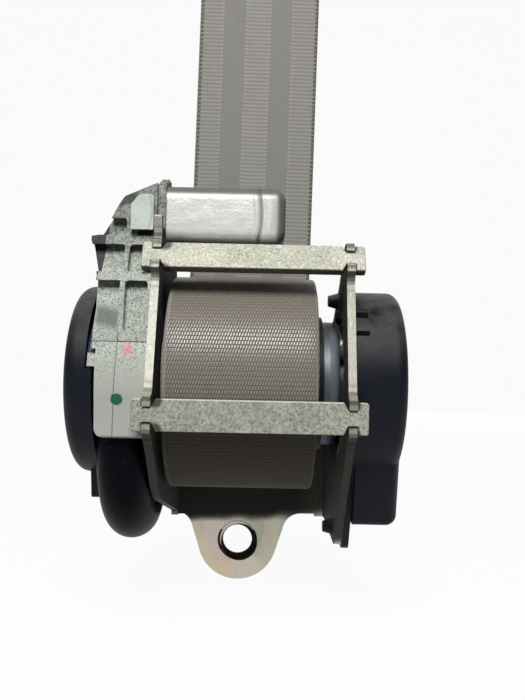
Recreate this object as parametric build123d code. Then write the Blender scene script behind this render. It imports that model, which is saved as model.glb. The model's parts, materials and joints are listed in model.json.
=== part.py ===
from build123d import *
import math
import os

# Seat-belt retractor with a ball-driven pretensioner, in millimetres.
# The origin is the centre of the mounting hole on the back face of the base plate.
# X runs to the right along the spool, Y runs away from the viewer and Z runs up.

# Webbing
WEB_WIDTH = 47.0
WEB_THICKNESS = 1.2
ROLL_RADIUS = 35.4
ROLL_BAR_GAP = 1.5
ROLL_BACK_GAP = 7.2
ROLL_CENTRE_X = 2.1
STRIP_TOP = 232.0
STRIP_TAIL = 34.0
STRIP_SIDE_LEAN = 0.95
STRIP_BACK_LEAN = 1.9
LOOP_LENGTH = 13.0

# Spool axis above the mounting hole
AXIS_HEIGHT = 64.3

# Steel frame
SHEET = 2.5
LEFT_WALL_GAP = 0.5
RIGHT_WALL_GAP = 0.7
BEND_RADIUS = 3.6
BASE_BOTTOM = 10.8
BASE_RISE = 20.7
PLATE_CORNER_SHARE = 0.6
TAB_END_RADIUS = 15.5
TAB_ROOT_HALF_WIDTH = 18.9
TAB_ROOT_HEIGHT = 6.7
TAB_FILLET = 7.0
HOLE_DIAMETER = 11.5
HOLE_RIM_DIAMETER = 15.6
HOLE_RIM_DEPTH = 0.9
WINDOW_WIDTH = 30.0
WINDOW_HEIGHT = 26.0
WINDOW_CENTRE_Z = 50.0
LEFT_OPENING_RADIUS = 20.0
LEFT_PRONG_RISE = 7.5
LEFT_CUT_REACH = 12.4
LEFT_CUT_RISE = 15.2

# Tie bars
BAR_OVERHANG = 3.25
BAR_HEIGHT = 9.5
BAR_THICKNESS = 2.5
NOTCH_WIDTH = 3.1
NOTCH_DEPTH = 2.6
NOTCH_FLARE = 1.7
PRONG_PLAY = 0.3
PRONG_PROUD = 0.5
LOWER_BAR_DROP = 8.6
UPPER_BAR_REACH = 23.0
UPPER_BAR_GAP = 3.1
UPPER_BAR_TILT = 30.0

# Spool
CORE_RADIUS = 17.5
CORE_BORE_RADIUS = 6.2
LEFT_FLANGE_RADIUS = 23.5
RIGHT_FLANGE_RADIUS = 22.4
FLANGE_THICKNESS = 1.4
RIGHT_FLANGE_THICKNESS = 2.0
WEB_SIDE_PLAY = 0.3
TORSION_BAR_RADIUS = 5.5
JOURNAL_RADIUS = 11.0
WHEEL_SEAT_RADIUS = 8.0
WEB_PIN_RADIUS = 2.0

# Emergency lock
LOCK_TEETH = 30
LOCK_TIP_RADIUS = 22.4
LOCK_ROOT_RADIUS = 24.9
LOCK_BASE_RADIUS = 20.8
LOCK_BASE_THICKNESS = 2.1
THRUST_RING_THICKNESS = 3.1
HUB_RADIUS = 11.0
PAWL_PIVOT_RADIUS = 15.4
PAWL_PIVOT_ANGLE = 128.0
PAWL_PIN_RADIUS = 2.2
PAWL_BOSS_RADIUS = 4.1
PAWL_TEETH_START = 58.0
PAWL_TEETH_END = 80.0
PAWL_THROW = 12.0
CAM_PIN_RADIUS = 1.2
CAM_PIN_ORBIT = 18.0
CAM_PIN_ANGLE = 76.0
GEAR_LAG = 20.0
SENSOR_TEETH = 36
GEAR_TIP_RADIUS = 22.3
GEAR_ROOT_RADIUS = 20.5
GEAR_THICKNESS = 2.3
RIM_TIP_RADIUS = 24.0
RIM_ROOT_RADIUS = 25.6
RIM_OUTER_RADIUS = 27.6
FLYWHEEL_THICKNESS = 2.8
FLYWHEEL_PIVOT_RADIUS = 12.0
FLYWHEEL_PIVOT_ANGLE = 205.0

# Vehicle sensor
SENSOR_BALL_RADIUS = 4.5
SENSOR_CONE_ANGLE = 35.0
LEVER_THICKNESS = 1.4
SENSOR_BALL_REACH = 2.9
SENSOR_BALL_DROP = 36.9
LEVER_PIVOT_BACK = 13.0

# Black mechanism cover on the right
COVER_RADIUS = 31.0
COVER_DEPTH = 16.7
COVER_WALL = 1.8
COVER_RIM_FILLET = 3.6
COVER_DROP = 45.1
PLATE_THICKNESS = 2.3
PLATE_DROP = 55.7
FIN_ANGLES = (134.0, 147.0)
FIN_RISE = 1.8
FIN_REACH = 2.4
PUSH_PIN_RADIUS = 2.0
PUSH_TIP_RADIUS = 2.8
UPPER_PIN = (-0.4, 28.0)
LOWER_PIN = (4.0, -49.7)

# Black spring cover on the left
SPRING_COVER_RADIUS = 31.2
SPRING_COVER_DEPTH = 9.2
SPRING_COVER_WALL = 1.6
SPRING_RIM_FILLET = 4.0
SKIRT_STEP = 2.05
SKIRT_STEP_RISE = 4.1
SPRING_BAND = 0.5
SPRING_TURNS = 7
SPRING_INNER_RADIUS = 5.6
ARBOR_RADIUS = 5.2

# Pretensioner
HOUSING_WIDTH = 16.7
HOUSING_STEP = 1.3
HOUSING_STEP_RISE = 10.3
HOUSING_RADIUS = 33.0
HOUSING_DROP = 16.4
WHEEL_WIDTH = 10.6
RIB_HEIGHT = 3.0
RIB_WIDTH = 1.5
RIB_FROM_WALL = 8.5
SHELF_REACH = 3.4
TOWER_FOOT_RISE = 12.7
TOWER_RISE = 25.1
TOWER_BACK = 16.0
POCKET_FOOT_RISE = 15.7
RAMP_SHARE = 0.45
SCREW_RADIUS = 2.0
SCREW_HEAD_RADIUS = 3.3
SCREW_HEAD = 1.6
SCREW_ORBITS = ((27.0, 40.0), (30.0, 135.0), (23.0, 325.0))
BUSH_WALL = 1.5
BALL_DIAMETER = 11.5
BALL_COUNT = 9
WHEEL_POCKETS = 11
POCKET_PLAY = 0.15
TUBE_OUTER_RADIUS = 8.25
TUBE_INNER_RADIUS = 6.0
TUBE_BEND_RADIUS = 26.5
TUBE_BEND_DROP = 19.7
LEAD_BALL_DROP = 13.4
CUP_LENGTH = 42.7
CUP_HEIGHT = 18.8
CUP_SEAT = 1.5
COLLAR_WALL = 1.6
CUP_DEPTH = 20.0
CUP_WALL = 1.2
CUP_CORNER = 4.6
CUP_REACH = 13.9
CUP_RISE = 6.5
COLLAR_LUG = (6.0, 1.4)
CHANNEL_PLATE_REACH = 21.3
CHANNEL_PLATE_THICKNESS = 1.2

# Clearances
FIT = 0.05
PLAY = 0.3

# Places set by the roll and by the spool axis
AXIS_FORWARD = ROLL_RADIUS + ROLL_BACK_GAP
AXIS_Y = -AXIS_FORWARD
LOWER_BAR_FORWARD = AXIS_FORWARD + ROLL_RADIUS + ROLL_BAR_GAP
LOWER_BAR_HEIGHT = AXIS_HEIGHT - LOWER_BAR_DROP
UPPER_BAR_FORWARD = AXIS_FORWARD + UPPER_BAR_REACH
UPPER_BAR_HEIGHT = AXIS_HEIGHT + ROLL_RADIUS + UPPER_BAR_GAP
SENSOR_BALL_FORWARD = AXIS_FORWARD + SENSOR_BALL_REACH
SENSOR_BALL_HEIGHT = AXIS_HEIGHT - SENSOR_BALL_DROP
COVER_BOTTOM = AXIS_HEIGHT - COVER_DROP
PLATE_BOTTOM = AXIS_HEIGHT - PLATE_DROP
BASE_TOP = AXIS_HEIGHT + BASE_RISE
HOUSING_BOTTOM = AXIS_HEIGHT - HOUSING_DROP
HOUSING_STEP_HEIGHT = AXIS_HEIGHT + HOUSING_STEP_RISE
SKIRT_STEP_HEIGHT = AXIS_HEIGHT + SKIRT_STEP_RISE
TUBE_BEND_HEIGHT = AXIS_HEIGHT - TUBE_BEND_DROP
PIN_PLACES = tuple((AXIS_Y + y, AXIS_HEIGHT + z) for y, z in (UPPER_PIN, LOWER_PIN))

# Places along the spool, left to right
ROLL_LEFT_X = ROLL_CENTRE_X - WEB_WIDTH / 2
ROLL_RIGHT_X = ROLL_CENTRE_X + WEB_WIDTH / 2
LEFT_FLANGE_X = ROLL_LEFT_X - WEB_SIDE_PLAY - FLANGE_THICKNESS
RIGHT_FLANGE_X = ROLL_RIGHT_X + WEB_SIDE_PLAY
LOCK_BASE_X = RIGHT_FLANGE_X + RIGHT_FLANGE_THICKNESS
THRUST_RING_X = LOCK_BASE_X + LOCK_BASE_THICKNESS
PAWL_X = THRUST_RING_X + THRUST_RING_THICKNESS + PLAY

# Frame walls beside the spool, and what is mounted on them
LEFT_INNER_X = LEFT_FLANGE_X - LEFT_WALL_GAP
LEFT_OUTER_X = LEFT_INNER_X - SHEET
RIGHT_INNER_X = THRUST_RING_X + THRUST_RING_THICKNESS + RIGHT_WALL_GAP
RIGHT_OUTER_X = RIGHT_INNER_X + SHEET
FRAME_CENTRE_X = (LEFT_INNER_X + RIGHT_INNER_X) / 2
FRAME_INNER_WIDTH = RIGHT_INNER_X - LEFT_INNER_X
BAR_LENGTH = FRAME_INNER_WIDTH + 2 * (SHEET + BAR_OVERHANG)
WALL_CENTRES = (LEFT_INNER_X - SHEET / 2, RIGHT_INNER_X + SHEET / 2)
COVER_END_X = RIGHT_OUTER_X + COVER_DEPTH
HOUSING_END_X = LEFT_OUTER_X - HOUSING_WIDTH
HOUSING_LOWER_END_X = HOUSING_END_X + HOUSING_STEP
SPRING_COVER_END_X = HOUSING_END_X - SPRING_COVER_DEPTH
RIB_X = LEFT_OUTER_X - RIB_FROM_WALL
PLATE_X = RIGHT_OUTER_X
GEAR_X = PLATE_X + PLATE_THICKNESS + PLAY
FLYWHEEL_X = GEAR_X + GEAR_THICKNESS + PLAY
COVER_INNER_END_X = COVER_END_X - COVER_WALL

# Places of the ball drive
BALL_RADIUS = BALL_DIAMETER / 2
BALL_PITCH = BALL_DIAMETER + 0.1
DRIVE_X = LEFT_OUTER_X - PLAY - TUBE_OUTER_RADIUS
POCKET_ORBIT = BALL_PITCH / (2 * math.sin(math.pi / WHEEL_POCKETS))
WHEEL_RADIUS = POCKET_ORBIT - 0.4 * BALL_RADIUS
TUBE_FRONT_Y = AXIS_Y - POCKET_ORBIT
TUBE_BACK_Y = TUBE_FRONT_Y + 2 * TUBE_BEND_RADIUS
TUBE_CENTRE_Y = TUBE_FRONT_Y + TUBE_BEND_RADIUS
CHEEK_LEFT_X = DRIVE_X - WHEEL_WIDTH / 2 - PLAY
WHEEL_RIGHT_X = DRIVE_X + WHEEL_WIDTH / 2 + PLAY
CUP_LEFT_X = LEFT_OUTER_X - CUP_SEAT
COLLAR_END_X = LEFT_OUTER_X + SHEET
CUP_FRONT_Y = AXIS_Y - CUP_REACH
CUP_MIDDLE = (CUP_FRONT_Y + CUP_DEPTH / 2, UPPER_BAR_HEIGHT + CUP_RISE + CUP_HEIGHT / 2)

# Front of the housing's tower in the side view, and its rows of pockets, placed by the upper bar
FRONT_SKIN = (
    (AXIS_Y - 30.8, AXIS_HEIGHT + TOWER_FOOT_RISE),
    (AXIS_Y - 27.6, UPPER_BAR_HEIGHT - 7.8),
    (AXIS_Y - 25.0, UPPER_BAR_HEIGHT - 4.1),
    (AXIS_Y - 20.3, UPPER_BAR_HEIGHT + 4.2),
    (AXIS_Y - 18.4, UPPER_BAR_HEIGHT + 9.2),
    (AXIS_Y - 16.4, UPPER_BAR_HEIGHT + TOWER_RISE + 2.0),
)
POCKET_ROWS = (
    (AXIS_HEIGHT + POCKET_FOOT_RISE, UPPER_BAR_HEIGHT - 7.2),
    (UPPER_BAR_HEIGHT - 4.4, UPPER_BAR_HEIGHT + 4.8),
    (UPPER_BAR_HEIGHT + 7.8, UPPER_BAR_HEIGHT + 13.4),
)
TOP_RIGHT_POCKET = UPPER_BAR_HEIGHT + 19.8


def outline(points, radii=0.0):
    """Closed flat outline with rounded corners."""
    return make_face(FilletPolyline(*points, radius=radii, close=True))


def across(face, x_start, x_end):
    """Extrude a side view, drawn in (Y, Z), along the spool."""
    return extrude(Plane.YZ.offset(x_start) * face, amount=x_end - x_start, dir=(1, 0, 0))


def rearward(face, y_start, y_end):
    """Extrude a front view, drawn in (X, Z), away from the viewer."""
    return extrude(Plane.XZ.offset(-y_start) * face, amount=y_end - y_start, dir=(0, 1, 0))


def upward(face, z_start, z_end):
    """Extrude a plan view, drawn in (X, Y), upward."""
    return extrude(Plane.XY.offset(z_start) * face, amount=z_end - z_start, dir=(0, 0, 1))


def centred(shape):
    """Place a side view drawn about the spool axis."""
    return Pos(AXIS_Y, AXIS_HEIGHT) * shape


def disc(radius, x_start, x_end, hole=0.0):
    """Round plate on the spool axis, with an optional bore."""
    solid = across(centred(Circle(radius)), x_start, x_end)
    if hole:
        solid -= across(centred(Circle(hole)), x_start, x_end)
    return solid


def turned(points, radii=0.0):
    """Solid of revolution about the spool axis from points (X, radius)."""
    plane = Plane(origin=(0, AXIS_Y, AXIS_HEIGHT), x_dir=(1, 0, 0), z_dir=(0, -1, 0))
    return revolve(plane * outline(points, radii), axis=Axis((0, AXIS_Y, AXIS_HEIGHT), (1, 0, 0)))


def pin(y, z, radius, x_start, x_end):
    """Round pin parallel to the spool."""
    return across(Pos(y, z) * Circle(radius), x_start, x_end)


def polar(radius, angle):
    """Point in the side view about the spool axis; the angle is in degrees from +Y."""
    turn = math.radians(angle)
    return (radius * math.cos(turn), radius * math.sin(turn))


def turned_point(point, centre, angle):
    """Side-view point turned about a centre by an angle in degrees."""
    turn = math.radians(angle)
    across_y = point[0] - centre[0]
    up_z = point[1] - centre[1]
    return (
        centre[0] + across_y * math.cos(turn) - up_z * math.sin(turn),
        centre[1] + across_y * math.sin(turn) + up_z * math.cos(turn),
    )


def internal_teeth(tip, root, count, steep_share=0.08, flat_share=0.12, slope_share=0.6):
    """Opening with inward ratchet teeth whose steep faces stop a positive turn."""
    pitch = 360.0 / count
    points = []
    for tooth in range(count):
        start = tooth * pitch
        points.append(polar(root, start))
        points.append(polar(tip, start + steep_share * pitch))
        points.append(polar(tip, start + (steep_share + flat_share) * pitch))
        points.append(polar(root, start + (steep_share + flat_share + slope_share) * pitch))
    return make_face(Polyline(*points, close=True))


def external_teeth(tip, root, count):
    """Wheel outline with outward ratchet teeth whose steep faces lead a positive turn."""
    pitch = 360.0 / count
    points = []
    for tooth in range(count):
        start = (tooth + 0.25) * pitch
        points.append(polar(root, start))
        points.append(polar(tip, start + 0.62 * pitch))
        points.append(polar(root, start + 0.7 * pitch))
    return make_face(Polyline(*points, close=True))


def bar_direction(tilt):
    """Upward and outward unit directions of a tie bar in the side view."""
    lean = math.radians(tilt)
    return (math.sin(lean), math.cos(lean)), (-math.cos(lean), math.sin(lean))


def beside_bar(forward, height, tilt, along, proud):
    """Side-view point given by its place along a bar and its height above the bar's seat."""
    up, out = bar_direction(tilt)
    return (
        -forward + along * up[0] + proud * out[0],
        height + along * up[1] + proud * out[1],
    )


def bar_seat(forward, height, tilt):
    """Wall edge round a tie bar: a seat with a staked prong below and above."""
    half = BAR_HEIGHT / 2
    neck = half - NOTCH_DEPTH + PRONG_PLAY
    crown = BAR_THICKNESS + PRONG_PROUD
    profile = (
        (-half - 2.4, 0.0),
        (-half - 1.5, 1.0),
        (-half - 0.5, crown),
        (-neck, crown),
        (-neck, 0.0),
        (neck, 0.0),
        (neck, crown),
        (half + 0.5, crown),
        (half + 1.5, 1.0),
        (half + 2.4, 0.0),
    )
    return [beside_bar(forward, height, tilt, along, proud) for along, proud in profile]


def wall_outline():
    """Side view of both frame walls."""
    lower = bar_seat(LOWER_BAR_FORWARD, LOWER_BAR_HEIGHT, 0.0)
    upper = bar_seat(UPPER_BAR_FORWARD, UPPER_BAR_HEIGHT, UPPER_BAR_TILT)
    points = [(0.0, BASE_BOTTOM - 1.0), (AXIS_Y - 3.2, BASE_BOTTOM - 1.0)]
    points += [(AXIS_Y - 16.4, BASE_BOTTOM + 16.4), (-LOWER_BAR_FORWARD + 8.5, BASE_BOTTOM + 29.5)]
    points += lower + upper
    arm_back = (upper[-1][0] + 5.5, upper[-1][1] - 2.5)
    points += [arm_back, (AXIS_Y - 4.4, BASE_TOP + 13.0), (AXIS_Y + 16.0, BASE_TOP + 1.0), (0.0, BASE_TOP)]
    radii = [0.0, 5.0, 14.0, 14.0] + [0.0] * 20 + [2.0, 6.0, 8.0, 0.0]
    return outline(points, radii)


def tab_outline():
    """Front view of the base plate with its rounded mounting tab."""
    slope = math.atan2(TAB_ROOT_HALF_WIDTH - TAB_END_RADIUS, TAB_ROOT_HEIGHT + 4.0)
    touch_x = TAB_END_RADIUS * math.cos(slope)
    touch_z = TAB_END_RADIUS * math.sin(slope)
    reach = (BASE_BOTTOM + touch_z) * math.tan(slope)
    half = FRAME_INNER_WIDTH / 2 + SHEET
    left = FRAME_CENTRE_X - half
    right = FRAME_CENTRE_X + half
    shoulder = touch_x + reach
    corner = PLATE_CORNER_SHARE * (-shoulder - left)
    plate = outline(
        [(left, BASE_TOP), (left, BASE_BOTTOM), (-shoulder, BASE_BOTTOM), (-touch_x, -touch_z),
         (touch_x, -touch_z), (shoulder, BASE_BOTTOM), (right, BASE_BOTTOM), (right, BASE_TOP)],
        [0.0, corner, TAB_FILLET, 0.0, 0.0, TAB_FILLET, corner, 0.0],
    )
    return plate + Circle(TAB_END_RADIUS)


def frame():
    """U-shaped steel frame: base plate with mounting tab and two side walls."""
    centre = FRAME_CENTRE_X
    depth = LOWER_BAR_FORWARD + BAR_THICKNESS + 3.0
    outer = Pos(centre, -depth / 2) * Rectangle(FRAME_INNER_WIDTH + 2 * SHEET, depth)
    outer = fillet(outer.vertices().group_by(Axis.Y)[-1], BEND_RADIUS)
    inner = Pos(centre, -depth / 2 - SHEET) * Rectangle(FRAME_INNER_WIDTH, depth)
    inner = fillet(inner.vertices().group_by(Axis.Y)[-1], BEND_RADIUS - SHEET)
    channel = upward(outer - inner, BASE_BOTTOM - 2.0, UPPER_BAR_HEIGHT + BAR_HEIGHT + 8.0)
    walls = across(wall_outline(), LEFT_OUTER_X, RIGHT_OUTER_X)
    body = channel & walls
    plate = rearward(tab_outline(), -SHEET, 0.0)
    between_bends = Pos(centre, BASE_TOP / 2) * Rectangle(FRAME_INNER_WIDTH - 2 * BEND_RADIUS, 2 * BASE_TOP)
    body -= rearward(between_bends, -SHEET, 0.0)
    inner_half = FRAME_INNER_WIDTH / 2 - BEND_RADIUS + SHEET
    flat_part = Pos(centre, BASE_TOP / 2) * Rectangle(2 * inner_half, 4 * BASE_TOP)
    body += plate & rearward(flat_part, -SHEET, 0.0)
    window = outline(
        [(centre - WINDOW_WIDTH / 2, WINDOW_CENTRE_Z - WINDOW_HEIGHT / 2),
         (centre + WINDOW_WIDTH / 2, WINDOW_CENTRE_Z - WINDOW_HEIGHT / 2),
         (centre + WINDOW_WIDTH / 2, WINDOW_CENTRE_Z + WINDOW_HEIGHT / 2),
         (centre - WINDOW_WIDTH / 2, WINDOW_CENTRE_Z + WINDOW_HEIGHT / 2)],
        6.0,
    )
    body -= rearward(window, -SHEET, 0.0)
    body -= rearward(Circle(HOLE_DIAMETER / 2), -SHEET, 0.0)
    rim = Plane.XZ.offset(SHEET)
    body -= extrude(rim * Circle(HOLE_RIM_DIAMETER / 2), amount=-HOLE_RIM_DEPTH, taper=45)
    body += across(rear_horn(), LEFT_OUTER_X, LEFT_INNER_X)
    body -= disc(LEFT_OPENING_RADIUS, LEFT_OUTER_X, LEFT_INNER_X)
    teeth = centred(internal_teeth(LOCK_TIP_RADIUS, LOCK_ROOT_RADIUS, LOCK_TEETH))
    body -= across(teeth, RIGHT_INNER_X, RIGHT_OUTER_X)
    for y, z in PIN_PLACES:
        body -= pin(y, z, PUSH_PIN_RADIUS, RIGHT_INNER_X, RIGHT_OUTER_X)
    for y, z in screw_places():
        body -= pin(y, z, SCREW_RADIUS, LEFT_OUTER_X, LEFT_INNER_X)
    body -= across(left_wall_cut(), LEFT_OUTER_X, LEFT_INNER_X)
    body += left_prong()
    return body - across(cup_section(COLLAR_WALL + PLAY), LEFT_OUTER_X, LEFT_INNER_X)


def left_wall_cut():
    """Lower front corner that the left wall leaves free, drawn in the side view."""
    y, z = AXIS_Y - LEFT_CUT_REACH, BASE_BOTTOM + LEFT_CUT_RISE
    return outline(
        [(-SHEET - 2.0, BASE_BOTTOM - 3.0), (-SHEET - 2.0, BASE_BOTTOM + 0.8), (y, z), (y - 30.0, z + 21.0),
         (y - 30.0, BASE_BOTTOM - 3.0)],
        [0.0, 1.0, 12.0, 0.0, 0.0],
    )


def rear_horn():
    """Left wall behind and below the collar of the catch cup, drawn in the side view."""
    seat = UPPER_BAR_HEIGHT + CUP_RISE
    return outline(
        [(AXIS_Y - 8.0, BASE_TOP + 8.0), (AXIS_Y - 8.0, seat), (AXIS_Y + 8.0, seat),
         (AXIS_Y + 11.5, seat + 4.0), (AXIS_Y + 15.0, seat + 4.0), (AXIS_Y + 27.0, BASE_TOP),
         (AXIS_Y + 27.0, BASE_TOP - 6.0)],
        [0.0, 0.0, 0.0, 1.2, 1.2, 3.0, 0.0],
    )


def left_prong():
    """Extra prong above the left end of the upper bar, which holds the channel plate."""
    top = BAR_HEIGHT / 2 + 1.2
    place = (UPPER_BAR_FORWARD, UPPER_BAR_HEIGHT, UPPER_BAR_TILT)
    foot_front = beside_bar(*place, top, 2.6)
    foot_back = beside_bar(*place, top - 1.0, -2.0)
    tip_front = (foot_front[0] - 0.8, foot_front[1] + LEFT_PRONG_RISE)
    tip_back = (foot_front[0] + 2.0, foot_front[1] + LEFT_PRONG_RISE)
    face = outline([foot_front, tip_front, tip_back, foot_back], [0.0, 0.8, 0.8, 0.0])
    return across(face, LEFT_OUTER_X, LEFT_INNER_X)


def tie_bar(forward, height, tilt):
    """Flat steel bar with four notches that take the prongs of the frame walls."""
    half = BAR_LENGTH / 2
    top = BAR_HEIGHT / 2
    bar = Pos(FRAME_CENTRE_X, 0) * RectangleRounded(BAR_LENGTH, BAR_HEIGHT, 0.9)
    for wall_x, outward in zip(WALL_CENTRES, (-1, 1)):
        straight = wall_x + outward * NOTCH_WIDTH / 2
        inner = wall_x - outward * NOTCH_WIDTH / 2
        for side in (-1, 1):
            notch = outline(
                [(straight, side * (top + 1.0)), (straight, side * (top - NOTCH_DEPTH)),
                 (inner + outward * 0.2, side * (top - NOTCH_DEPTH)),
                 (inner - outward * NOTCH_FLARE, side * (top + 1.0))],
                [0.0, 0.5, 0.5, 0.0],
            )
            bar -= notch
    up, out = bar_direction(tilt)
    plane = Plane(origin=(0, -forward, height), x_dir=(1, 0, 0), z_dir=(0, out[0], out[1]))
    solid = extrude(plane * bar, amount=BAR_THICKNESS)
    front = solid.faces().sort_by(Axis((0, 0, 0), (0, out[0], out[1])))[-1]
    return chamfer(front.outer_wire().edges(), 0.25)


def spool_core():
    """Die-cast spool core with its left flange, left journal and drive wheel seat."""
    solid = turned([
        (HOUSING_END_X, CORE_BORE_RADIUS), (HOUSING_END_X, WHEEL_SEAT_RADIUS),
        (WHEEL_RIGHT_X - PLAY, WHEEL_SEAT_RADIUS), (WHEEL_RIGHT_X - PLAY, JOURNAL_RADIUS),
        (LEFT_FLANGE_X, JOURNAL_RADIUS), (LEFT_FLANGE_X, LEFT_FLANGE_RADIUS),
        (LEFT_FLANGE_X + FLANGE_THICKNESS, LEFT_FLANGE_RADIUS),
        (LEFT_FLANGE_X + FLANGE_THICKNESS, CORE_RADIUS),
        (RIGHT_FLANGE_X, CORE_RADIUS), (RIGHT_FLANGE_X, CORE_BORE_RADIUS),
    ])
    slot_depth = CORE_RADIUS - WEB_PIN_RADIUS - 2.0
    return solid - pin(AXIS_Y - slot_depth, AXIS_HEIGHT, WEB_PIN_RADIUS + PLAY, ROLL_LEFT_X, RIGHT_FLANGE_X)


def webbing_pin():
    """Rod that locks the webbing's inner end in the core."""
    slot_depth = CORE_RADIUS - WEB_PIN_RADIUS - 2.0
    return pin(AXIS_Y - slot_depth, AXIS_HEIGHT, WEB_PIN_RADIUS, ROLL_LEFT_X + PLAY, RIGHT_FLANGE_X - PLAY)


def webbing_roll():
    """Webbing wound on the core, as one round layer stack."""
    return turned([
        (ROLL_LEFT_X, CORE_RADIUS + FIT), (ROLL_LEFT_X, ROLL_RADIUS),
        (ROLL_RIGHT_X, ROLL_RADIUS), (ROLL_RIGHT_X, CORE_RADIUS + FIT),
    ], [0.0, 0.5, 0.5, 0.0])


def strip_plane():
    """Plane of the webbing that leaves the roll, leaning back and to the right."""
    back = math.tan(math.radians(STRIP_BACK_LEAN))
    side = math.tan(math.radians(STRIP_SIDE_LEAN))
    run = Vector(side, back, 1.0).normalized()
    facing = Vector(0, -1, back).normalized()
    start_y = AXIS_Y + ROLL_RADIUS + PLAY + WEB_THICKNESS
    origin = Vector(ROLL_CENTRE_X, start_y, AXIS_HEIGHT)
    return Plane(origin=origin, x_dir=run.cross(facing), z_dir=facing)


def webbing_strip():
    """Free webbing from behind the roll up to its sewn loop."""
    plane = strip_plane()
    rise = STRIP_TOP - AXIS_HEIGHT
    width = abs(plane.x_dir.X)
    flat = Pos(0, (rise - STRIP_TAIL) / 2) * Rectangle(WEB_WIDTH * width, rise + STRIP_TAIL)
    fold = Pos(0, rise - LOOP_LENGTH / 2) * Rectangle(WEB_WIDTH * width, LOOP_LENGTH)
    solid = extrude(plane * flat, amount=WEB_THICKNESS)
    return solid + extrude(plane * fold, amount=2 * WEB_THICKNESS)


def torsion_bar():
    """Load-limiting steel bar with a square end for the spring arbor."""
    end_x = LOCK_BASE_X + LOCK_BASE_THICKNESS + THRUST_RING_THICKNESS
    bar = disc(TORSION_BAR_RADIUS - 1.0, HOUSING_END_X, end_x)
    bar += disc(CORE_BORE_RADIUS, HOUSING_END_X, HOUSING_END_X + 12.0)
    bar += disc(CORE_BORE_RADIUS, LOCK_BASE_X - 4.0, end_x)
    square = centred(Rectangle(5.0, 5.0))
    return bar + across(square, SPRING_COVER_END_X + SPRING_COVER_WALL + PLAY, HOUSING_END_X)


def spool_flange():
    """Black plastic flange beside the webbing."""
    return disc(RIGHT_FLANGE_RADIUS, RIGHT_FLANGE_X, LOCK_BASE_X, CORE_BORE_RADIUS)


def locking_base():
    """Tread head that carries the pawl and ends in the right-hand journal."""
    solid = turned([
        (LOCK_BASE_X, CORE_BORE_RADIUS), (LOCK_BASE_X, LOCK_BASE_RADIUS),
        (THRUST_RING_X, LOCK_BASE_RADIUS), (THRUST_RING_X, HUB_RADIUS),
        (GEAR_X - PLAY, HUB_RADIUS), (GEAR_X - PLAY, 4.0), (COVER_INNER_END_X - 1.5, 4.0),
        (COVER_INNER_END_X - 1.5, 0.0), (THRUST_RING_X + THRUST_RING_THICKNESS, 0.0),
        (THRUST_RING_X + THRUST_RING_THICKNESS, CORE_BORE_RADIUS),
    ])
    solid -= across(pawl_pocket(), THRUST_RING_X + THRUST_RING_THICKNESS, GEAR_X)
    y, z = pawl_pivot()
    return solid + pin(y, z, PAWL_PIN_RADIUS, THRUST_RING_X - 0.5, RIGHT_OUTER_X - PLAY)


def thrust_ring():
    """Ring with a rounded shoulder that runs beside the wall."""
    ring = turned([
        (THRUST_RING_X, HUB_RADIUS), (THRUST_RING_X, LOCK_BASE_RADIUS),
        (THRUST_RING_X + THRUST_RING_THICKNESS, LOCK_BASE_RADIUS),
        (THRUST_RING_X + THRUST_RING_THICKNESS, HUB_RADIUS),
    ], [0.0, 0.0, 2.0, 0.0])
    y, z = pawl_pivot()
    return ring - pin(y, z, PAWL_PIN_RADIUS, THRUST_RING_X, THRUST_RING_X + THRUST_RING_THICKNESS)


def pawl_pivot():
    """Pawl pivot in the side view."""
    y, z = polar(PAWL_PIVOT_RADIUS, PAWL_PIVOT_ANGLE)
    return (AXIS_Y + y, AXIS_HEIGHT + z)


def pawl_arm(growth=0.0):
    """Arm of the pawl about the spool axis, drawn engaged."""
    pivot = polar(PAWL_PIVOT_RADIUS, PAWL_PIVOT_ANGLE)
    reach = LOCK_ROOT_RADIUS + 2.0
    inner = 17.0 - growth
    head = make_face(Polyline(
        polar(inner, PAWL_TEETH_START), polar(reach, PAWL_TEETH_START),
        polar(reach, PAWL_TEETH_END), polar(20.6 + growth, PAWL_TEETH_END + 10.0),
        polar(19.2 + growth, PAWL_PIVOT_ANGLE - 6.0), polar(12.0 - growth, PAWL_PIVOT_ANGLE - 12.0),
        polar(14.0 - growth, PAWL_TEETH_END + 12.0), close=True,
    ))
    return head + Pos(*pivot) * Circle(PAWL_BOSS_RADIUS + growth)


def pawl_pocket():
    """Room for the resting pawl, cut into the hub."""
    pivot = pawl_pivot()
    shape = centred(pawl_arm(PLAY))
    return shape.rotate(Axis((pivot[0], pivot[1], 0), (0, 0, 1)), -PAWL_THROW) + shape


def lock_pawl():
    """Pawl with three teeth, shown at rest clear of the wall's toothed ring."""
    slack = 0.6
    toothed = internal_teeth(LOCK_TIP_RADIUS - slack, LOCK_ROOT_RADIUS - slack, LOCK_TEETH)
    engaged = centred(pawl_arm() & Rot(0, 0, -0.8) * toothed)
    pivot = pawl_pivot()
    face = engaged.rotate(Axis((pivot[0], pivot[1], 0), (0, 0, 1)), -PAWL_THROW)
    body = across(face, PAWL_X, RIGHT_OUTER_X - PLAY)
    body -= pin(pivot[0], pivot[1], PAWL_PIN_RADIUS + FIT, PAWL_X, RIGHT_OUTER_X)
    y, z = cam_pin(0.0)
    start = RIGHT_OUTER_X - PLAY - 0.5
    return body + pin(AXIS_Y + y, AXIS_HEIGHT + z, CAM_PIN_RADIUS, start, GEAR_X + GEAR_THICKNESS)


def cam_pin(throw):
    """Place of the pawl's cam pin about the axis after the pawl has swung by an angle."""
    engaged = polar(CAM_PIN_ORBIT, CAM_PIN_ANGLE)
    return turned_point(engaged, polar(PAWL_PIVOT_RADIUS, PAWL_PIVOT_ANGLE), throw - PAWL_THROW)


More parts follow.
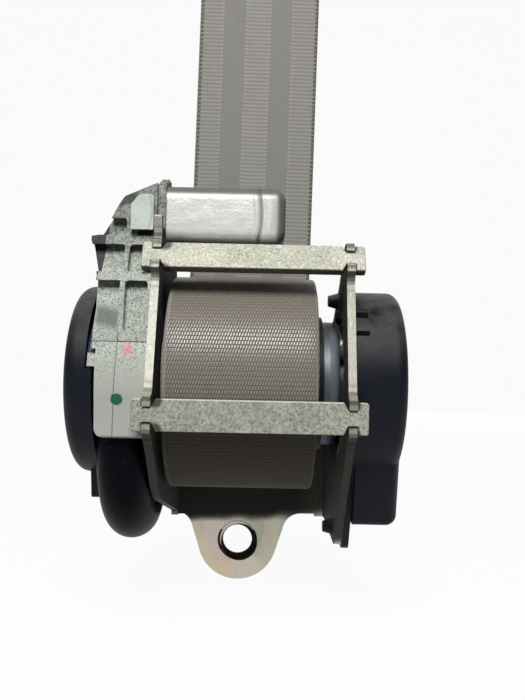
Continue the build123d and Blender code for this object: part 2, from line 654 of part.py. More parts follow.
def cam_slot():
    """Slanted slot of the lock gear, traced by the cam pin as the gear lags."""
    steps = 5
    places = []
    for step in range(steps + 1):
        share = step / steps
        places.append(turned_point(cam_pin(share * PAWL_THROW), (0, 0), share * GEAR_LAG))
    slot = Pos(*places[0]) * Circle(CAM_PIN_RADIUS + PLAY)
    for start, end in zip(places, places[1:]):
        middle = ((start[0] + end[0]) / 2, (start[1] + end[1]) / 2)
        length = math.dist(start, end)
        lean = math.degrees(math.atan2(end[1] - start[1], end[0] - start[0]))
        slot += Pos(*middle) * SlotCenterToCenter(length, 2 * (CAM_PIN_RADIUS + PLAY), rotation=lean)
    return slot


def lock_gear():
    """Plastic ratchet disc that lags behind the spool and drives the pawl out."""
    wheel = external_teeth(GEAR_TIP_RADIUS, GEAR_ROOT_RADIUS, SENSOR_TEETH) - Circle(4.0 + FIT) - cam_slot()
    solid = across(centred(wheel), GEAR_X, GEAR_X + GEAR_THICKNESS)
    hub_end = COVER_INNER_END_X - 4.0
    solid += disc(6.0, GEAR_X + GEAR_THICKNESS, hub_end, 4.0 + FIT)
    y, z = polar(FLYWHEEL_PIVOT_RADIUS, FLYWHEEL_PIVOT_ANGLE)
    top = FLYWHEEL_X + FLYWHEEL_THICKNESS + 0.6
    return solid + pin(AXIS_Y + y, AXIS_HEIGHT + z, 1.6, GEAR_X + GEAR_THICKNESS - 0.5, top)


def flywheel():
    """Curved inertia mass whose hook catches the toothed rim when the webbing jerks."""
    pivot = polar(FLYWHEEL_PIVOT_RADIUS, FLYWHEEL_PIVOT_ANGLE)
    start = FLYWHEEL_PIVOT_ANGLE - 8.0
    sweep = 120.0
    arc_outer = CenterArc((0, 0), 19.0, start, sweep)
    arc_inner = CenterArc((0, 0), 8.2, start, sweep)
    ends = [Line(arc_outer @ 0, arc_inner @ 0), Line(arc_outer @ 1, arc_inner @ 1)]
    body = make_face([*arc_outer.edges(), *arc_inner.edges(), ends[0], ends[1]])
    hook_angle = start + sweep
    body += make_face(Polyline(
        polar(16.0, hook_angle - 14.0), polar(20.6, hook_angle - 12.0), polar(22.6, hook_angle - 1.0),
        polar(18.4, hook_angle - 0.5), polar(16.0, hook_angle), close=True,
    ))
    body -= Pos(*pivot) * Circle(1.6 + FIT)
    return across(centred(body), FLYWHEEL_X, FLYWHEEL_X + FLYWHEEL_THICKNESS)


def cover_outline(shrink=0.0):
    """Side view of the black cover: a drum with a box below it for the sensor."""
    box = outline(
        [(AXIS_Y - 19.5, AXIS_HEIGHT - 20.0), (AXIS_Y - 14.2, COVER_BOTTOM),
         (AXIS_Y + 13.4, COVER_BOTTOM), (AXIS_Y + 19.0, AXIS_HEIGHT - 20.0), (AXIS_Y, AXIS_HEIGHT)],
        [0.0, 2.4, 2.4, 0.0, 0.0],
    )
    shape = box + centred(Circle(COVER_RADIUS))
    if shrink:
        shape = offset(shape, -shrink)
    return shape


def plate_outline():
    """Side view of the plastic plate that carries the cover on the wall."""
    lobe = outline(
        [(AXIS_Y - 20.5, AXIS_HEIGHT - 20.0), (AXIS_Y - 3.4, PLATE_BOTTOM),
         (AXIS_Y + 10.0, PLATE_BOTTOM), (AXIS_Y + 19.0, AXIS_HEIGHT - 20.0), (AXIS_Y, AXIS_HEIGHT)],
        [0.0, 4.0, 4.0, 0.0, 0.0],
    )
    return lobe + centred(Circle(COVER_RADIUS))


def mechanism_plate():
    """Plastic plate with a raised toothed rim for the flywheel's hook."""
    plate = plate_outline() - centred(Circle(LOCK_ROOT_RADIUS - 1.0))
    for y, z in PIN_PLACES:
        plate -= Pos(y, z) * Circle(PUSH_PIN_RADIUS)
    solid = across(plate, PLATE_X, PLATE_X + PLATE_THICKNESS)
    rim = Circle(RIM_OUTER_RADIUS) - internal_teeth(RIM_TIP_RADIUS, RIM_ROOT_RADIUS, SENSOR_TEETH)
    rim_end = FLYWHEEL_X + FLYWHEEL_THICKNESS
    solid += across(centred(rim), PLATE_X + PLATE_THICKNESS, rim_end)
    window = Pos(AXIS_Y, AXIS_HEIGHT - RIM_OUTER_RADIUS) * Rectangle(12.0, 12.0)
    solid -= across(window, PLATE_X + PLATE_THICKNESS, rim_end)
    for angle in FIN_ANGLES:
        root = [polar(COVER_RADIUS - 1.5, angle - 3.0), polar(COVER_RADIUS - 1.5, angle + 3.0)]
        fin = centred(make_face(Polyline(*root, polar(COVER_RADIUS + FIN_RISE, angle + 1.0),
                                         polar(COVER_RADIUS + FIN_RISE, angle - 2.0), close=True)))
        solid += across(fin, PLATE_X, PLATE_X + PLATE_THICKNESS)
        tooth = fin - centred(Circle(COVER_RADIUS + FIT))
        solid += across(tooth, PLATE_X + PLATE_THICKNESS, PLATE_X + PLATE_THICKNESS + FIN_REACH)
    return solid


def mechanism_cover():
    """Black cover moulded as one open shell with a rounded rim."""
    start = PLATE_X + PLATE_THICKNESS
    shell = across(cover_outline(), start, COVER_END_X)
    shell = fillet(shell.faces().sort_by(Axis.X)[-1].outer_wire().edges(), COVER_RIM_FILLET)
    hollow = across(cover_outline(COVER_WALL), start, COVER_INNER_END_X)
    hollow = fillet(hollow.faces().sort_by(Axis.X)[-1].outer_wire().edges(), COVER_RIM_FILLET - COVER_WALL)
    shell -= hollow
    return shell + disc(7.0, COVER_INNER_END_X - 3.2, COVER_INNER_END_X, 5.2)


def end_bush():
    """Bush that carries the right-hand journal in the cover."""
    return disc(5.2, COVER_INNER_END_X - 3.2, COVER_INNER_END_X, 4.0 + FIT)


def push_pins():
    """Two split plastic pins that clip the plate to the wall."""
    pins = []
    for y, z in PIN_PLACES:
        shank = pin(y, z, PUSH_PIN_RADIUS, RIGHT_INNER_X, PLATE_X + PLATE_THICKNESS)
        plane = Plane.YZ.offset(RIGHT_INNER_X)
        tip = extrude(plane * Pos(y, z) * Circle(PUSH_TIP_RADIUS), amount=-3.4, taper=16)
        pins.append(shank + tip)
    return Compound(children=pins)


def sensor_housing():
    """Plastic block with the conical seat of the sensor ball and the lever's bearing."""
    y = -SENSOR_BALL_FORWARD
    seat_drop = SENSOR_BALL_RADIUS / math.cos(math.radians(SENSOR_CONE_ANGLE)) + PLAY
    block = across(outline(
        [(y - 8.0, COVER_BOTTOM + COVER_WALL + 1.0), (y + 15.0, COVER_BOTTOM + COVER_WALL + 1.0),
         (y + 15.8, SENSOR_BALL_HEIGHT + 8.4), (y + 10.4, SENSOR_BALL_HEIGHT + 8.4),
         (y + 8.0, SENSOR_BALL_HEIGHT - 0.4), (y - 8.6, SENSOR_BALL_HEIGHT - 0.4)],
        [1.0, 1.0, 1.5, 1.5, 0.0, 0.0]), PLATE_X + PLATE_THICKNESS, COVER_INNER_END_X - 1.2)
    middle_x = (PLATE_X + PLATE_THICKNESS + COVER_INNER_END_X - 1.2) / 2
    height = 6.4
    radius = height / math.tan(math.radians(SENSOR_CONE_ANGLE))
    cone = Cone(0.01, radius, height, align=(Align.CENTER, Align.CENTER, Align.MIN))
    block -= Pos(middle_x, y, SENSOR_BALL_HEIGHT - seat_drop) * cone
    fork = Pos(middle_x, y + LEVER_PIVOT_BACK, SENSOR_BALL_HEIGHT + SENSOR_BALL_RADIUS + 1.2)
    block -= fork * Box(5.0 + 2 * PLAY, 8.0, 8.0)
    return block + lever_pivot_pin()


def lever_pivot_pin():
    """Moulded pin on which the lever rocks."""
    y = -SENSOR_BALL_FORWARD + LEVER_PIVOT_BACK
    z = SENSOR_BALL_HEIGHT + SENSOR_BALL_RADIUS + 1.2
    start = PLATE_X + PLATE_THICKNESS
    return pin(y, z, 0.9, start + 2.0, COVER_INNER_END_X - 3.0)


def sensor_ball():
    """Steel ball that rolls up its cone when the car brakes or tilts."""
    middle_x = (PLATE_X + PLATE_THICKNESS + COVER_INNER_END_X - 1.2) / 2
    return Pos(middle_x, -SENSOR_BALL_FORWARD, SENSOR_BALL_HEIGHT) * Sphere(SENSOR_BALL_RADIUS)


def sensor_lever():
    """Lever that the ball lifts until its tip catches the lock gear."""
    middle_x = (PLATE_X + PLATE_THICKNESS + COVER_INNER_END_X - 1.2) / 2
    y = -SENSOR_BALL_FORWARD
    under = SENSOR_BALL_HEIGHT + SENSOR_BALL_RADIUS + PLAY
    tip = AXIS_HEIGHT - GEAR_TIP_RADIUS - 0.35
    pivot_z = SENSOR_BALL_HEIGHT + SENSOR_BALL_RADIUS + 1.2
    upper = under + LEVER_THICKNESS
    heel = y + LEVER_PIVOT_BACK - 2.0
    face = outline(
        [(y - 4.0, under), (heel, under), (heel, upper), (AXIS_Y + 1.4, upper), (AXIS_Y + 0.5, tip),
         (AXIS_Y - 0.5, tip), (AXIS_Y - 1.4, upper), (y - 4.0, upper)])
    face += Pos(y + LEVER_PIVOT_BACK, pivot_z) * Circle(2.1)
    face -= Pos(y + LEVER_PIVOT_BACK, pivot_z) * Circle(0.9 + FIT)
    lever = across(face, middle_x - 2.5, middle_x + 2.5)
    keep = GEAR_X + GEAR_THICKNESS
    finger_face = outline(
        [(AXIS_Y - 1.4, upper - 0.3), (AXIS_Y + 1.4, upper - 0.3), (AXIS_Y + 0.5, tip), (AXIS_Y - 0.5, tip)])
    finger = across(finger_face, GEAR_X, middle_x - 2.4)
    return lever - across(Pos(AXIS_Y, tip) * Rectangle(4.0, 8.0), keep + 0.2, middle_x + 2.6) + finger


def drive_wheel():
    """Steel wheel with ball pockets round its rim."""
    wheel = disc(WHEEL_RADIUS, CHEEK_LEFT_X + PLAY, WHEEL_RIGHT_X - PLAY, WHEEL_SEAT_RADIUS)
    for pocket in range(WHEEL_POCKETS):
        y, z = polar(POCKET_ORBIT, 180.0 + pocket * 360.0 / WHEEL_POCKETS)
        wheel -= Pos(DRIVE_X, AXIS_Y + y, AXIS_HEIGHT + z) * Sphere(BALL_RADIUS + POCKET_PLAY)
    return wheel


def tube_path():
    """Centre line of the ball tube: down the front, round the bend and up the back."""
    front_top = (DRIVE_X, TUBE_FRONT_Y, AXIS_HEIGHT - LEAD_BALL_DROP + BALL_RADIUS + 3.0)
    front = (DRIVE_X, TUBE_FRONT_Y, TUBE_BEND_HEIGHT)
    bottom = (DRIVE_X, TUBE_CENTRE_Y, TUBE_BEND_HEIGHT - TUBE_BEND_RADIUS)
    back = (DRIVE_X, TUBE_BACK_Y, TUBE_BEND_HEIGHT)
    back_top = (DRIVE_X, TUBE_BACK_Y, AXIS_HEIGHT + 8.0)
    return Line(front_top, front) + ThreePointArc(front, bottom, back) + Line(back, back_top)


def tube_solid(radius):
    """Solid rod along the tube's centre line."""
    path = tube_path()
    return sweep(Plane(origin=path @ 0, z_dir=path % 0) * Circle(radius), path=path)


def ball_tube():
    """Black bent tube that holds the ball train, coped round the drive wheel."""
    tube = tube_solid(TUBE_OUTER_RADIUS) - tube_solid(TUBE_INNER_RADIUS)
    return tube - disc(WHEEL_RADIUS + 2 * PLAY, DRIVE_X - 12.0, DRIVE_X + 12.0)


def tube_place(distance):
    """Point of the tube's centre line at a distance from the lead ball."""
    straight = AXIS_HEIGHT - LEAD_BALL_DROP - TUBE_BEND_HEIGHT
    arc = math.pi * TUBE_BEND_RADIUS
    if distance <= straight:
        return (DRIVE_X, TUBE_FRONT_Y, AXIS_HEIGHT - LEAD_BALL_DROP - distance)
    if distance <= straight + arc:
        turn = (distance - straight) / TUBE_BEND_RADIUS
        return (DRIVE_X, TUBE_CENTRE_Y - TUBE_BEND_RADIUS * math.cos(turn),
                TUBE_BEND_HEIGHT - TUBE_BEND_RADIUS * math.sin(turn))
    return (DRIVE_X, TUBE_BACK_Y, TUBE_BEND_HEIGHT + distance - straight - arc)


def drive_balls():
    """Ball train that waits below the drive wheel."""
    balls = []
    for ball in range(BALL_COUNT):
        balls.append(Pos(*tube_place(ball * BALL_PITCH)) * Sphere(BALL_RADIUS))
    return Compound(children=balls)


def seal_piston():
    """Soft piston that seals the gas behind the ball train."""
    _, y, z = tube_place((BALL_COUNT - 1) * BALL_PITCH)
    start = z + BALL_RADIUS + 0.2
    stand = (Align.CENTER, Align.CENTER, Align.MIN)
    return Pos(DRIVE_X, y, start) * Cylinder(TUBE_INNER_RADIUS - FIT, 6.0, align=stand)


def gas_generator():
    """Gas generator crimped into the tube's rear end, with its connector socket on top."""
    mouth = AXIS_HEIGHT + 8.0
    stand = (Align.CENTER, Align.CENTER, Align.MIN)
    body = Pos(DRIVE_X, TUBE_BACK_Y, mouth - 10.0) * Cylinder(TUBE_INNER_RADIUS - FIT, 10.0, align=stand)
    body += Pos(DRIVE_X, TUBE_BACK_Y, mouth) * Cylinder(TUBE_OUTER_RADIUS, 4.0, align=stand)
    body += Pos(DRIVE_X, TUBE_BACK_Y, mouth + 4.0) * Cylinder(TUBE_OUTER_RADIUS - 1.0, 11.0, align=stand)
    body -= Pos(DRIVE_X, TUBE_BACK_Y, mouth + 8.0) * Cylinder(TUBE_OUTER_RADIUS - 2.8, 7.0, align=stand)
    for side in (-1, 1):
        body += Pos(DRIVE_X + side * 1.3, TUBE_BACK_Y, mouth + 7.5) * Cylinder(0.5, 4.0, align=stand)
    return body


def housing_front_view():
    """Front view of the die-cast housing: stepped left edge, shelf and sloping roof."""
    shelf_x = HOUSING_END_X - SHELF_REACH
    roof = UPPER_BAR_HEIGHT + TOWER_RISE
    return outline(
        [(HOUSING_LOWER_END_X, HOUSING_BOTTOM), (HOUSING_LOWER_END_X, HOUSING_STEP_HEIGHT),
         (HOUSING_END_X, HOUSING_STEP_HEIGHT), (HOUSING_END_X, roof - 30.9), (shelf_x, roof - 19.0),
         (shelf_x, roof - 17.7), (HOUSING_END_X - 0.8, roof - 17.3), (HOUSING_END_X + 2.8, roof - 11.2),
         (HOUSING_END_X + 4.4, roof - 7.8), (HOUSING_END_X + 6.4, roof - 4.6),
         (HOUSING_END_X + 9.8, roof - 3.1), (LEFT_OUTER_X, roof), (LEFT_OUTER_X, HOUSING_BOTTOM)],
        [3.0, 0.0, 0.0, 0.0, 0.0, 0.0, 1.5, 3.0, 3.0, 2.5, 3.0, 0.0, 0.0],
    )


def front_skin(z):
    """Depth of the housing's front skin, which follows the wall's front edge."""
    low_y, low_z = FRONT_SKIN[0]
    for high_y, high_z in FRONT_SKIN[1:]:
        if z <= high_z:
            return low_y + (high_y - low_y) * (z - low_z) / (high_z - low_z)
        low_y, low_z = high_y, high_z
    return low_y


def housing_side_view():
    """Side view of the housing: a drum round the wheel with a tower for the cup."""
    cup_back = CUP_FRONT_Y + CUP_DEPTH
    tower = outline(
        [*FRONT_SKIN, (cup_back + 3.0, FRONT_SKIN[-1][1]), (cup_back + 12.0, UPPER_BAR_HEIGHT + 1.2),
         (cup_back + TOWER_BACK, FRONT_SKIN[0][1])],
        [0.0, 4.0, 1.0, 1.0, 3.0, 2.0, 3.0, 8.0, 0.0],
    )
    legs = outline(
        [(TUBE_FRONT_Y - TUBE_OUTER_RADIUS - 3.0, HOUSING_BOTTOM), (TUBE_BACK_Y - 1.0, HOUSING_BOTTOM),
         (TUBE_BACK_Y - 1.0, AXIS_HEIGHT), (TUBE_FRONT_Y - TUBE_OUTER_RADIUS - 4.0, AXIS_HEIGHT)],
        [1.0, 0.0, 0.0, 0.0],
    )
    drum = centred(Circle(HOUSING_RADIUS))
    return drum + tower + legs


def pretensioner_housing():
    """Ribbed die-cast housing of the ball drive."""
    front = rearward(housing_front_view(), -90.0, 10.0)
    side = across(housing_side_view(), HOUSING_END_X - SHELF_REACH, LEFT_OUTER_X)
    body = front & side
    body -= disc(SPRING_COVER_RADIUS + PLAY, HOUSING_END_X - SHELF_REACH, HOUSING_END_X)
    body += across(cup_section(COLLAR_WALL), LEFT_OUTER_X, COLLAR_END_X)
    lug_depth, lug_rise = COLLAR_LUG
    collar_top = CUP_MIDDLE[1] + CUP_HEIGHT / 2 + COLLAR_WALL
    lug = Pos(CUP_MIDDLE[0], collar_top) * Rectangle(lug_depth, 2 * lug_rise)
    body += across(lug, LEFT_OUTER_X, COLLAR_END_X)
    body -= across(cup_section(FIT), CUP_LEFT_X, COLLAR_END_X)
    body += cover_lug()
    for pocket in front_pockets():
        body -= pocket
    body -= bar_room(LOWER_BAR_FORWARD, LOWER_BAR_HEIGHT, 0.0)
    body -= bar_room(UPPER_BAR_FORWARD, UPPER_BAR_HEIGHT, UPPER_BAR_TILT)
    body -= disc(WHEEL_RADIUS + PLAY, CHEEK_LEFT_X, WHEEL_RIGHT_X)
    body -= disc(WHEEL_SEAT_RADIUS + PLAY, HOUSING_END_X, CHEEK_LEFT_X)
    body -= disc(JOURNAL_RADIUS + BUSH_WALL, WHEEL_RIGHT_X, LEFT_OUTER_X)
    body -= ball_channel()
    body -= tube_solid(TUBE_OUTER_RADIUS + FIT)
    rear_bore = Pos(DRIVE_X, TUBE_BACK_Y) * Circle(TUBE_OUTER_RADIUS + FIT)
    body -= upward(rear_bore, HOUSING_BOTTOM, AXIS_HEIGHT + 40.0)
    for y, z in screw_places():
        body -= pin(y, z, SCREW_RADIUS, HOUSING_END_X - 3.0, LEFT_OUTER_X)
        body -= pin(y, z, SCREW_HEAD_RADIUS, HOUSING_END_X - 3.0, HOUSING_END_X + SCREW_HEAD)
    return body


def bar_room(forward, height, tilt):
    """Room that the housing leaves for the end of a tie bar."""
    _, out = bar_direction(tilt)
    plane = Plane(origin=(0, -forward, height), x_dir=(1, 0, 0), z_dir=(0, out[0], out[1]))
    end = FRAME_CENTRE_X - BAR_LENGTH / 2 - PLAY
    room = Pos((end + LEFT_OUTER_X) / 2, 0) * Rectangle(LEFT_OUTER_X - end, BAR_HEIGHT + 2 * PLAY)
    return extrude(plane * room, amount=BAR_THICKNESS + PLAY)


def cover_lug():
    """Small lug on the housing's edge above the step of the spring cover."""
    ring = centred(Circle(SPRING_COVER_RADIUS) - Circle(SPRING_COVER_RADIUS - 1.3))
    band = Pos(AXIS_Y - 40.0, SKIRT_STEP_HEIGHT + 2.9) * Rectangle(80.0, 4.0)
    ledge = centred(Circle(SPRING_COVER_RADIUS) - Circle(SPRING_COVER_RADIUS - 4.0)) & band
    reach = HOUSING_END_X - SKIRT_STEP + 2 * PLAY
    return across(ring & band, reach, HOUSING_END_X) + across(ledge, HOUSING_END_X, HOUSING_LOWER_END_X)


def ball_channel():
    """Path of the balls: up the front, over the wheel and out to the catch cup."""
    reach = POCKET_ORBIT + BALL_RADIUS + PLAY
    width = BALL_RADIUS + PLAY
    top = AXIS_HEIGHT - LEAD_BALL_DROP
    riser = upward(Pos(DRIVE_X, TUBE_FRONT_Y) * Circle(width), top, AXIS_HEIGHT)
    quarter = centred(Circle(reach) & Pos(-reach / 2, reach / 2) * Rectangle(reach, reach))
    turn = across(quarter, DRIVE_X - width, DRIVE_X + width)
    mouth_y, mouth_z = CUP_MIDDLE
    shaft_plan = Pos(DRIVE_X, mouth_y) * Rectangle(2 * width, 2 * width)
    shaft = upward(shaft_plan, AXIS_HEIGHT + 10.0, mouth_z + width)
    throat_face = Pos((DRIVE_X + CUP_LEFT_X) / 2, mouth_z) * Rectangle(CUP_LEFT_X - DRIVE_X + 2, 2 * width)
    throat = rearward(throat_face, mouth_y - width, mouth_y + width)
    return riser + turn + shaft + throat


def front_pockets():
    """Recesses between the ribs on the front; each floor is parallel to the front skin."""
    foot, head = POCKET_ROWS[0]
    ramp_top = foot + RAMP_SHARE * (head - foot)
    lower_left = outline(
        [(-95.0, head), (front_skin(head) + RIB_HEIGHT, head), (front_skin(ramp_top) + RIB_HEIGHT, ramp_top),
         (front_skin(foot), foot), (-95.0, foot)])
    cuts = [across(lower_left, HOUSING_END_X - 5.0, RIB_X - RIB_WIDTH / 2)]
    core = across(offset(housing_side_view(), -RIB_HEIGHT), HOUSING_END_X - 9.0, LEFT_OUTER_X)
    columns = ((HOUSING_END_X - 9.0, RIB_X - RIB_WIDTH / 2), (RIB_X + RIB_WIDTH / 2, LEFT_OUTER_X - 0.8))
    for row, (low, high) in enumerate(POCKET_ROWS):
        for column, (left, right) in enumerate(columns):
            if row == 0 and column == 0:
                continue
            top = TOP_RIGHT_POCKET if (row, column) == (2, 1) else high
            face = Pos((left + right) / 2, (low + top) / 2) * RectangleRounded(right - left, top - low, 1.1)
            cuts.append(rearward(face, -95.0, AXIS_Y - 4.0) - core)
    return cuts


def cup_section(growth=0.0):
    """Side view of the catch cup, grown all round by a wall or a clearance."""
    depth, height = CUP_DEPTH + 2 * growth, CUP_HEIGHT + 2 * growth
    return Pos(*CUP_MIDDLE) * RectangleRounded(depth, height, CUP_CORNER + growth)


def catch_cup():
    """Drawn steel cup that catches the spent balls."""
    end = CUP_LEFT_X + CUP_LENGTH
    cup = across(cup_section(), CUP_LEFT_X, end)
    cup = fillet(cup.faces().sort_by(Axis.X)[-1].outer_wire().edges(), CUP_CORNER - 0.2)
    hollow = across(cup_section(-CUP_WALL), CUP_LEFT_X, end - CUP_WALL)
    hollow = fillet(hollow.faces().sort_by(Axis.X)[-1].outer_wire().edges(), CUP_CORNER - CUP_WALL - 0.2)
    return cup - hollow


def channel_plate():
    """Bright sheet plate that closes the housing in front of the ball path."""
    left, right = LEFT_OUTER_X - 7.5, LEFT_OUTER_X - 0.5
    low, high = UPPER_BAR_HEIGHT + 9.4, UPPER_BAR_HEIGHT + 20.4
    front = AXIS_Y - CHANNEL_PLATE_REACH
    face = outline(
        [(left, low), (right, low), (right, high), (left + 2.4, high), (left, high - 3.2)],
        [0.3, 0.3, 0.8, 2.6, 1.2],
    )
    return rearward(face, front, front + CHANNEL_PLATE_THICKNESS)


def screw_places():
    """Side-view places of the housing screws round the wheel."""
    places = []
    for orbit, angle in SCREW_ORBITS:
        y, z = polar(orbit, angle)
        places.append((AXIS_Y + y, AXIS_HEIGHT + z))
    return places


def housing_screws():
    """Three screws that clamp the housing to the left wall."""
    screws = []
    for y, z in screw_places():
        shank = pin(y, z, SCREW_RADIUS - FIT, HOUSING_END_X + FIT, LEFT_INNER_X)
        head = pin(y, z, SCREW_HEAD_RADIUS - FIT, HOUSING_END_X + FIT, HOUSING_END_X + SCREW_HEAD)
        socket = across(Pos(y, z) * RegularPolygon(1.5, 6), HOUSING_END_X, HOUSING_END_X + SCREW_HEAD - 0.5)
        screws.append(shank + head - socket)
    return Compound(children=screws)


def left_bush():
    """Bearing bush between the spool journal and the housing."""
    return disc(JOURNAL_RADIUS + BUSH_WALL, WHEEL_RIGHT_X, LEFT_OUTER_X, JOURNAL_RADIUS + FIT)


def spring_plate():
    """Thin plate that closes the spring cover towards the housing."""
    radius = SPRING_COVER_RADIUS - SPRING_COVER_WALL
    return disc(radius, HOUSING_END_X - 1.0, HOUSING_END_X, WHEEL_SEAT_RADIUS + PLAY)


def spring_cover():
    """Round black cover of the return spring with a stepped skirt."""
    rim = HOUSING_END_X - FIT
    end = SPRING_COVER_END_X
    inside = SPRING_COVER_RADIUS - SPRING_COVER_WALL
    shell = turned([
        (rim, inside + FIT), (rim, SPRING_COVER_RADIUS), (end, SPRING_COVER_RADIUS), (end, 0.0),
        (end + SPRING_COVER_WALL, 0.0), (end + SPRING_COVER_WALL, inside + FIT),
    ], [0.0, 0.0, SPRING_RIM_FILLET, 0.0, 0.0, SPRING_RIM_FILLET - SPRING_COVER_WALL])
    step = across(Pos(AXIS_Y, SKIRT_STEP_HEIGHT + 50.0) * Rectangle(100.0, 100.0), rim - SKIRT_STEP, rim)
    foot_face = outline([(-9.4, -38.8), (-3.4, -38.8), (-1.4, -26.3), (-11.4, -26.3)], [1.5, 1.5, 0.0, 0.0])
    foot = across(centred(foot_face), rim - 4.0, rim - 1.0)
    return shell - step + (foot - disc(SPRING_COVER_RADIUS - 0.5, rim - 6.0, rim + 1.0))


def spring_arbor():
    """Plastic hub that winds the return spring."""
    start = SPRING_COVER_END_X + SPRING_COVER_WALL + PLAY
    hub = disc(ARBOR_RADIUS, start, HOUSING_END_X - 1.0 - PLAY)
    return hub - across(centred(Rectangle(5.0, 5.0)), start, HOUSING_END_X)


def return_spring():
    """Spiral spring that winds the webbing in."""
    outer = SPRING_COVER_RADIUS - SPRING_COVER_WALL - 4 * PLAY
    samples = 12 * SPRING_TURNS
    middle = []
    for sample in range(samples + 1):
        share = sample / samples
        radius = SPRING_INNER_RADIUS + (outer - SPRING_INNER_RADIUS) * share
        middle.append(polar(radius, 360.0 * SPRING_TURNS * share))
    curve = Spline(*middle)
    band = trace(curve, SPRING_BAND)
    start = SPRING_COVER_END_X + SPRING_COVER_WALL + 2 * PLAY
    return across(centred(band), start, HOUSING_END_X - 1.0 - 2 * PLAY)


SUBPARTS = {
    "frame": frame,
    "lower_tie_bar": lambda: tie_bar(LOWER_BAR_FORWARD, LOWER_BAR_HEIGHT, 0.0),
    "upper_tie_bar": lambda: tie_bar(UPPER_BAR_FORWARD, UPPER_BAR_HEIGHT, UPPER_BAR_TILT),
    "spool_core": spool_core,
    "webbing_pin": webbing_pin,
    "webbing_roll": webbing_roll,
    "webbing_strip": webbing_strip,
    "torsion_bar": torsion_bar,
    "spool_flange": spool_flange,
    "locking_base": locking_base,
    "thrust_ring": thrust_ring,
    "lock_pawl": lock_pawl,
    "lock_gear": lock_gear,
    "flywheel": flywheel,
    "mechanism_plate": mechanism_plate,
    "mechanism_cover": mechanism_cover,
    "end_bush": end_bush,
    "push_pins": push_pins,
    "sensor_housing": sensor_housing,
    "sensor_ball": sensor_ball,
    "sensor_lever": sensor_lever,
    "pretensioner_housing": pretensioner_housing,
    "ball_tube": ball_tube,
    "drive_balls": drive_balls,
    "seal_piston": seal_piston,
    "gas_generator": gas_generator,
    "catch_cup": catch_cup,
    "channel_plate": channel_plate,
    "drive_wheel": drive_wheel,
    "housing_screws": housing_screws,
    "left_bush": left_bush,
    "spring_plate": spring_plate,
    "spring_cover": spring_cover,
    "spring_arbor": spring_arbor,
    "return_spring": return_spring,
}

os.makedirs("parts", exist_ok=True)
for node, build in SUBPARTS.items():
    export_step(build(), f"parts/{node}.step")
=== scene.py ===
"""Finishes and studio for a seat-belt retractor: webbing, plated steel, castings and plastics."""
import json
import math

import bmesh
import bpy
from mathutils import Matrix, Vector

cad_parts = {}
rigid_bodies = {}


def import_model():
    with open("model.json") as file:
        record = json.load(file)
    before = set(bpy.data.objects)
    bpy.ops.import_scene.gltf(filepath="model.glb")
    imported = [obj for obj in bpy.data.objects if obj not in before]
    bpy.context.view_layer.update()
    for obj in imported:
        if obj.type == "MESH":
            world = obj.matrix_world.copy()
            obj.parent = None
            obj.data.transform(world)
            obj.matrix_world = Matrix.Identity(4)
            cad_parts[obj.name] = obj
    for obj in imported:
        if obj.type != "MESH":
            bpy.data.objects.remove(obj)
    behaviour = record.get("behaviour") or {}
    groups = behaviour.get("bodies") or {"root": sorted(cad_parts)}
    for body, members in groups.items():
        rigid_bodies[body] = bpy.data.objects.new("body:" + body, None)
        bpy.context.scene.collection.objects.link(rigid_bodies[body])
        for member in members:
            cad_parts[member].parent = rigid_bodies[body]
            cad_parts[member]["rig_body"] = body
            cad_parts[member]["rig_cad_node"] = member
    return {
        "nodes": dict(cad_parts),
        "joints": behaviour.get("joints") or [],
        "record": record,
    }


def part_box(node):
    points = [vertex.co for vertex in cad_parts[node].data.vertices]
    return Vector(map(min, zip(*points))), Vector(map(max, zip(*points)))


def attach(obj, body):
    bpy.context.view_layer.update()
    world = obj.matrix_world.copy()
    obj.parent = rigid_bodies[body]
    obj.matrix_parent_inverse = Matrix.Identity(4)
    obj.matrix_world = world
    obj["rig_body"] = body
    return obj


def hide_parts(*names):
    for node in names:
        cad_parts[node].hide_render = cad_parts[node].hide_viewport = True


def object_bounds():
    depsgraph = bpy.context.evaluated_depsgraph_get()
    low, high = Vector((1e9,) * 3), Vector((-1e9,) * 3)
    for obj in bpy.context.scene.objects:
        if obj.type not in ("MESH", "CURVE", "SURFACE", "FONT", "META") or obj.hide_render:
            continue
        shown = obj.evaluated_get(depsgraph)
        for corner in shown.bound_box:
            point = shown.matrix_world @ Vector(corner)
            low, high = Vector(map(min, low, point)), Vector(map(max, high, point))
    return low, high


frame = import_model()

bl_info = {
    "name": "Seat-belt retractor finishes",
    "version": (1, 0, 0),
    "blender": (4, 5, 0),
    "location": "3D View > Sidebar > Retractor",
    "description": "Webbing, finishes and studio for a seat-belt retractor",
    "category": "Object",
}

MM = 0.001
CAD_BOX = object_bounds()
ROLL_LOW, ROLL_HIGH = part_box("webbing_roll")
STRIP_LOW, STRIP_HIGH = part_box("webbing_strip")
AXIS = Vector(next(j["pos_m"] for j in frame["joints"] if j["name"] == "spool_turn"))
STRIP_RUN = Vector(next(j["axis"] for j in frame["joints"] if j["name"] == "webbing_run")).normalized()

# Left and right ends of the room between the housing and the mechanism plate, in millimetres
WALL_FACES = (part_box("pretensioner_housing")[1].x / MM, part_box("mechanism_plate")[0].x / MM)
HOLE_RADIUS = next(m["dims"]["r_mm"] for m in frame["record"]["mounts"] if m["name"] == "mounting_hole")
# Height in millimetres where the bright tab ends and the painted shade on the steel starts
TAB_TOP = 11.5
# Upward part of the normal on the front of the upper bar, which leans back
UPPER_BAR_LEAN = 0.5

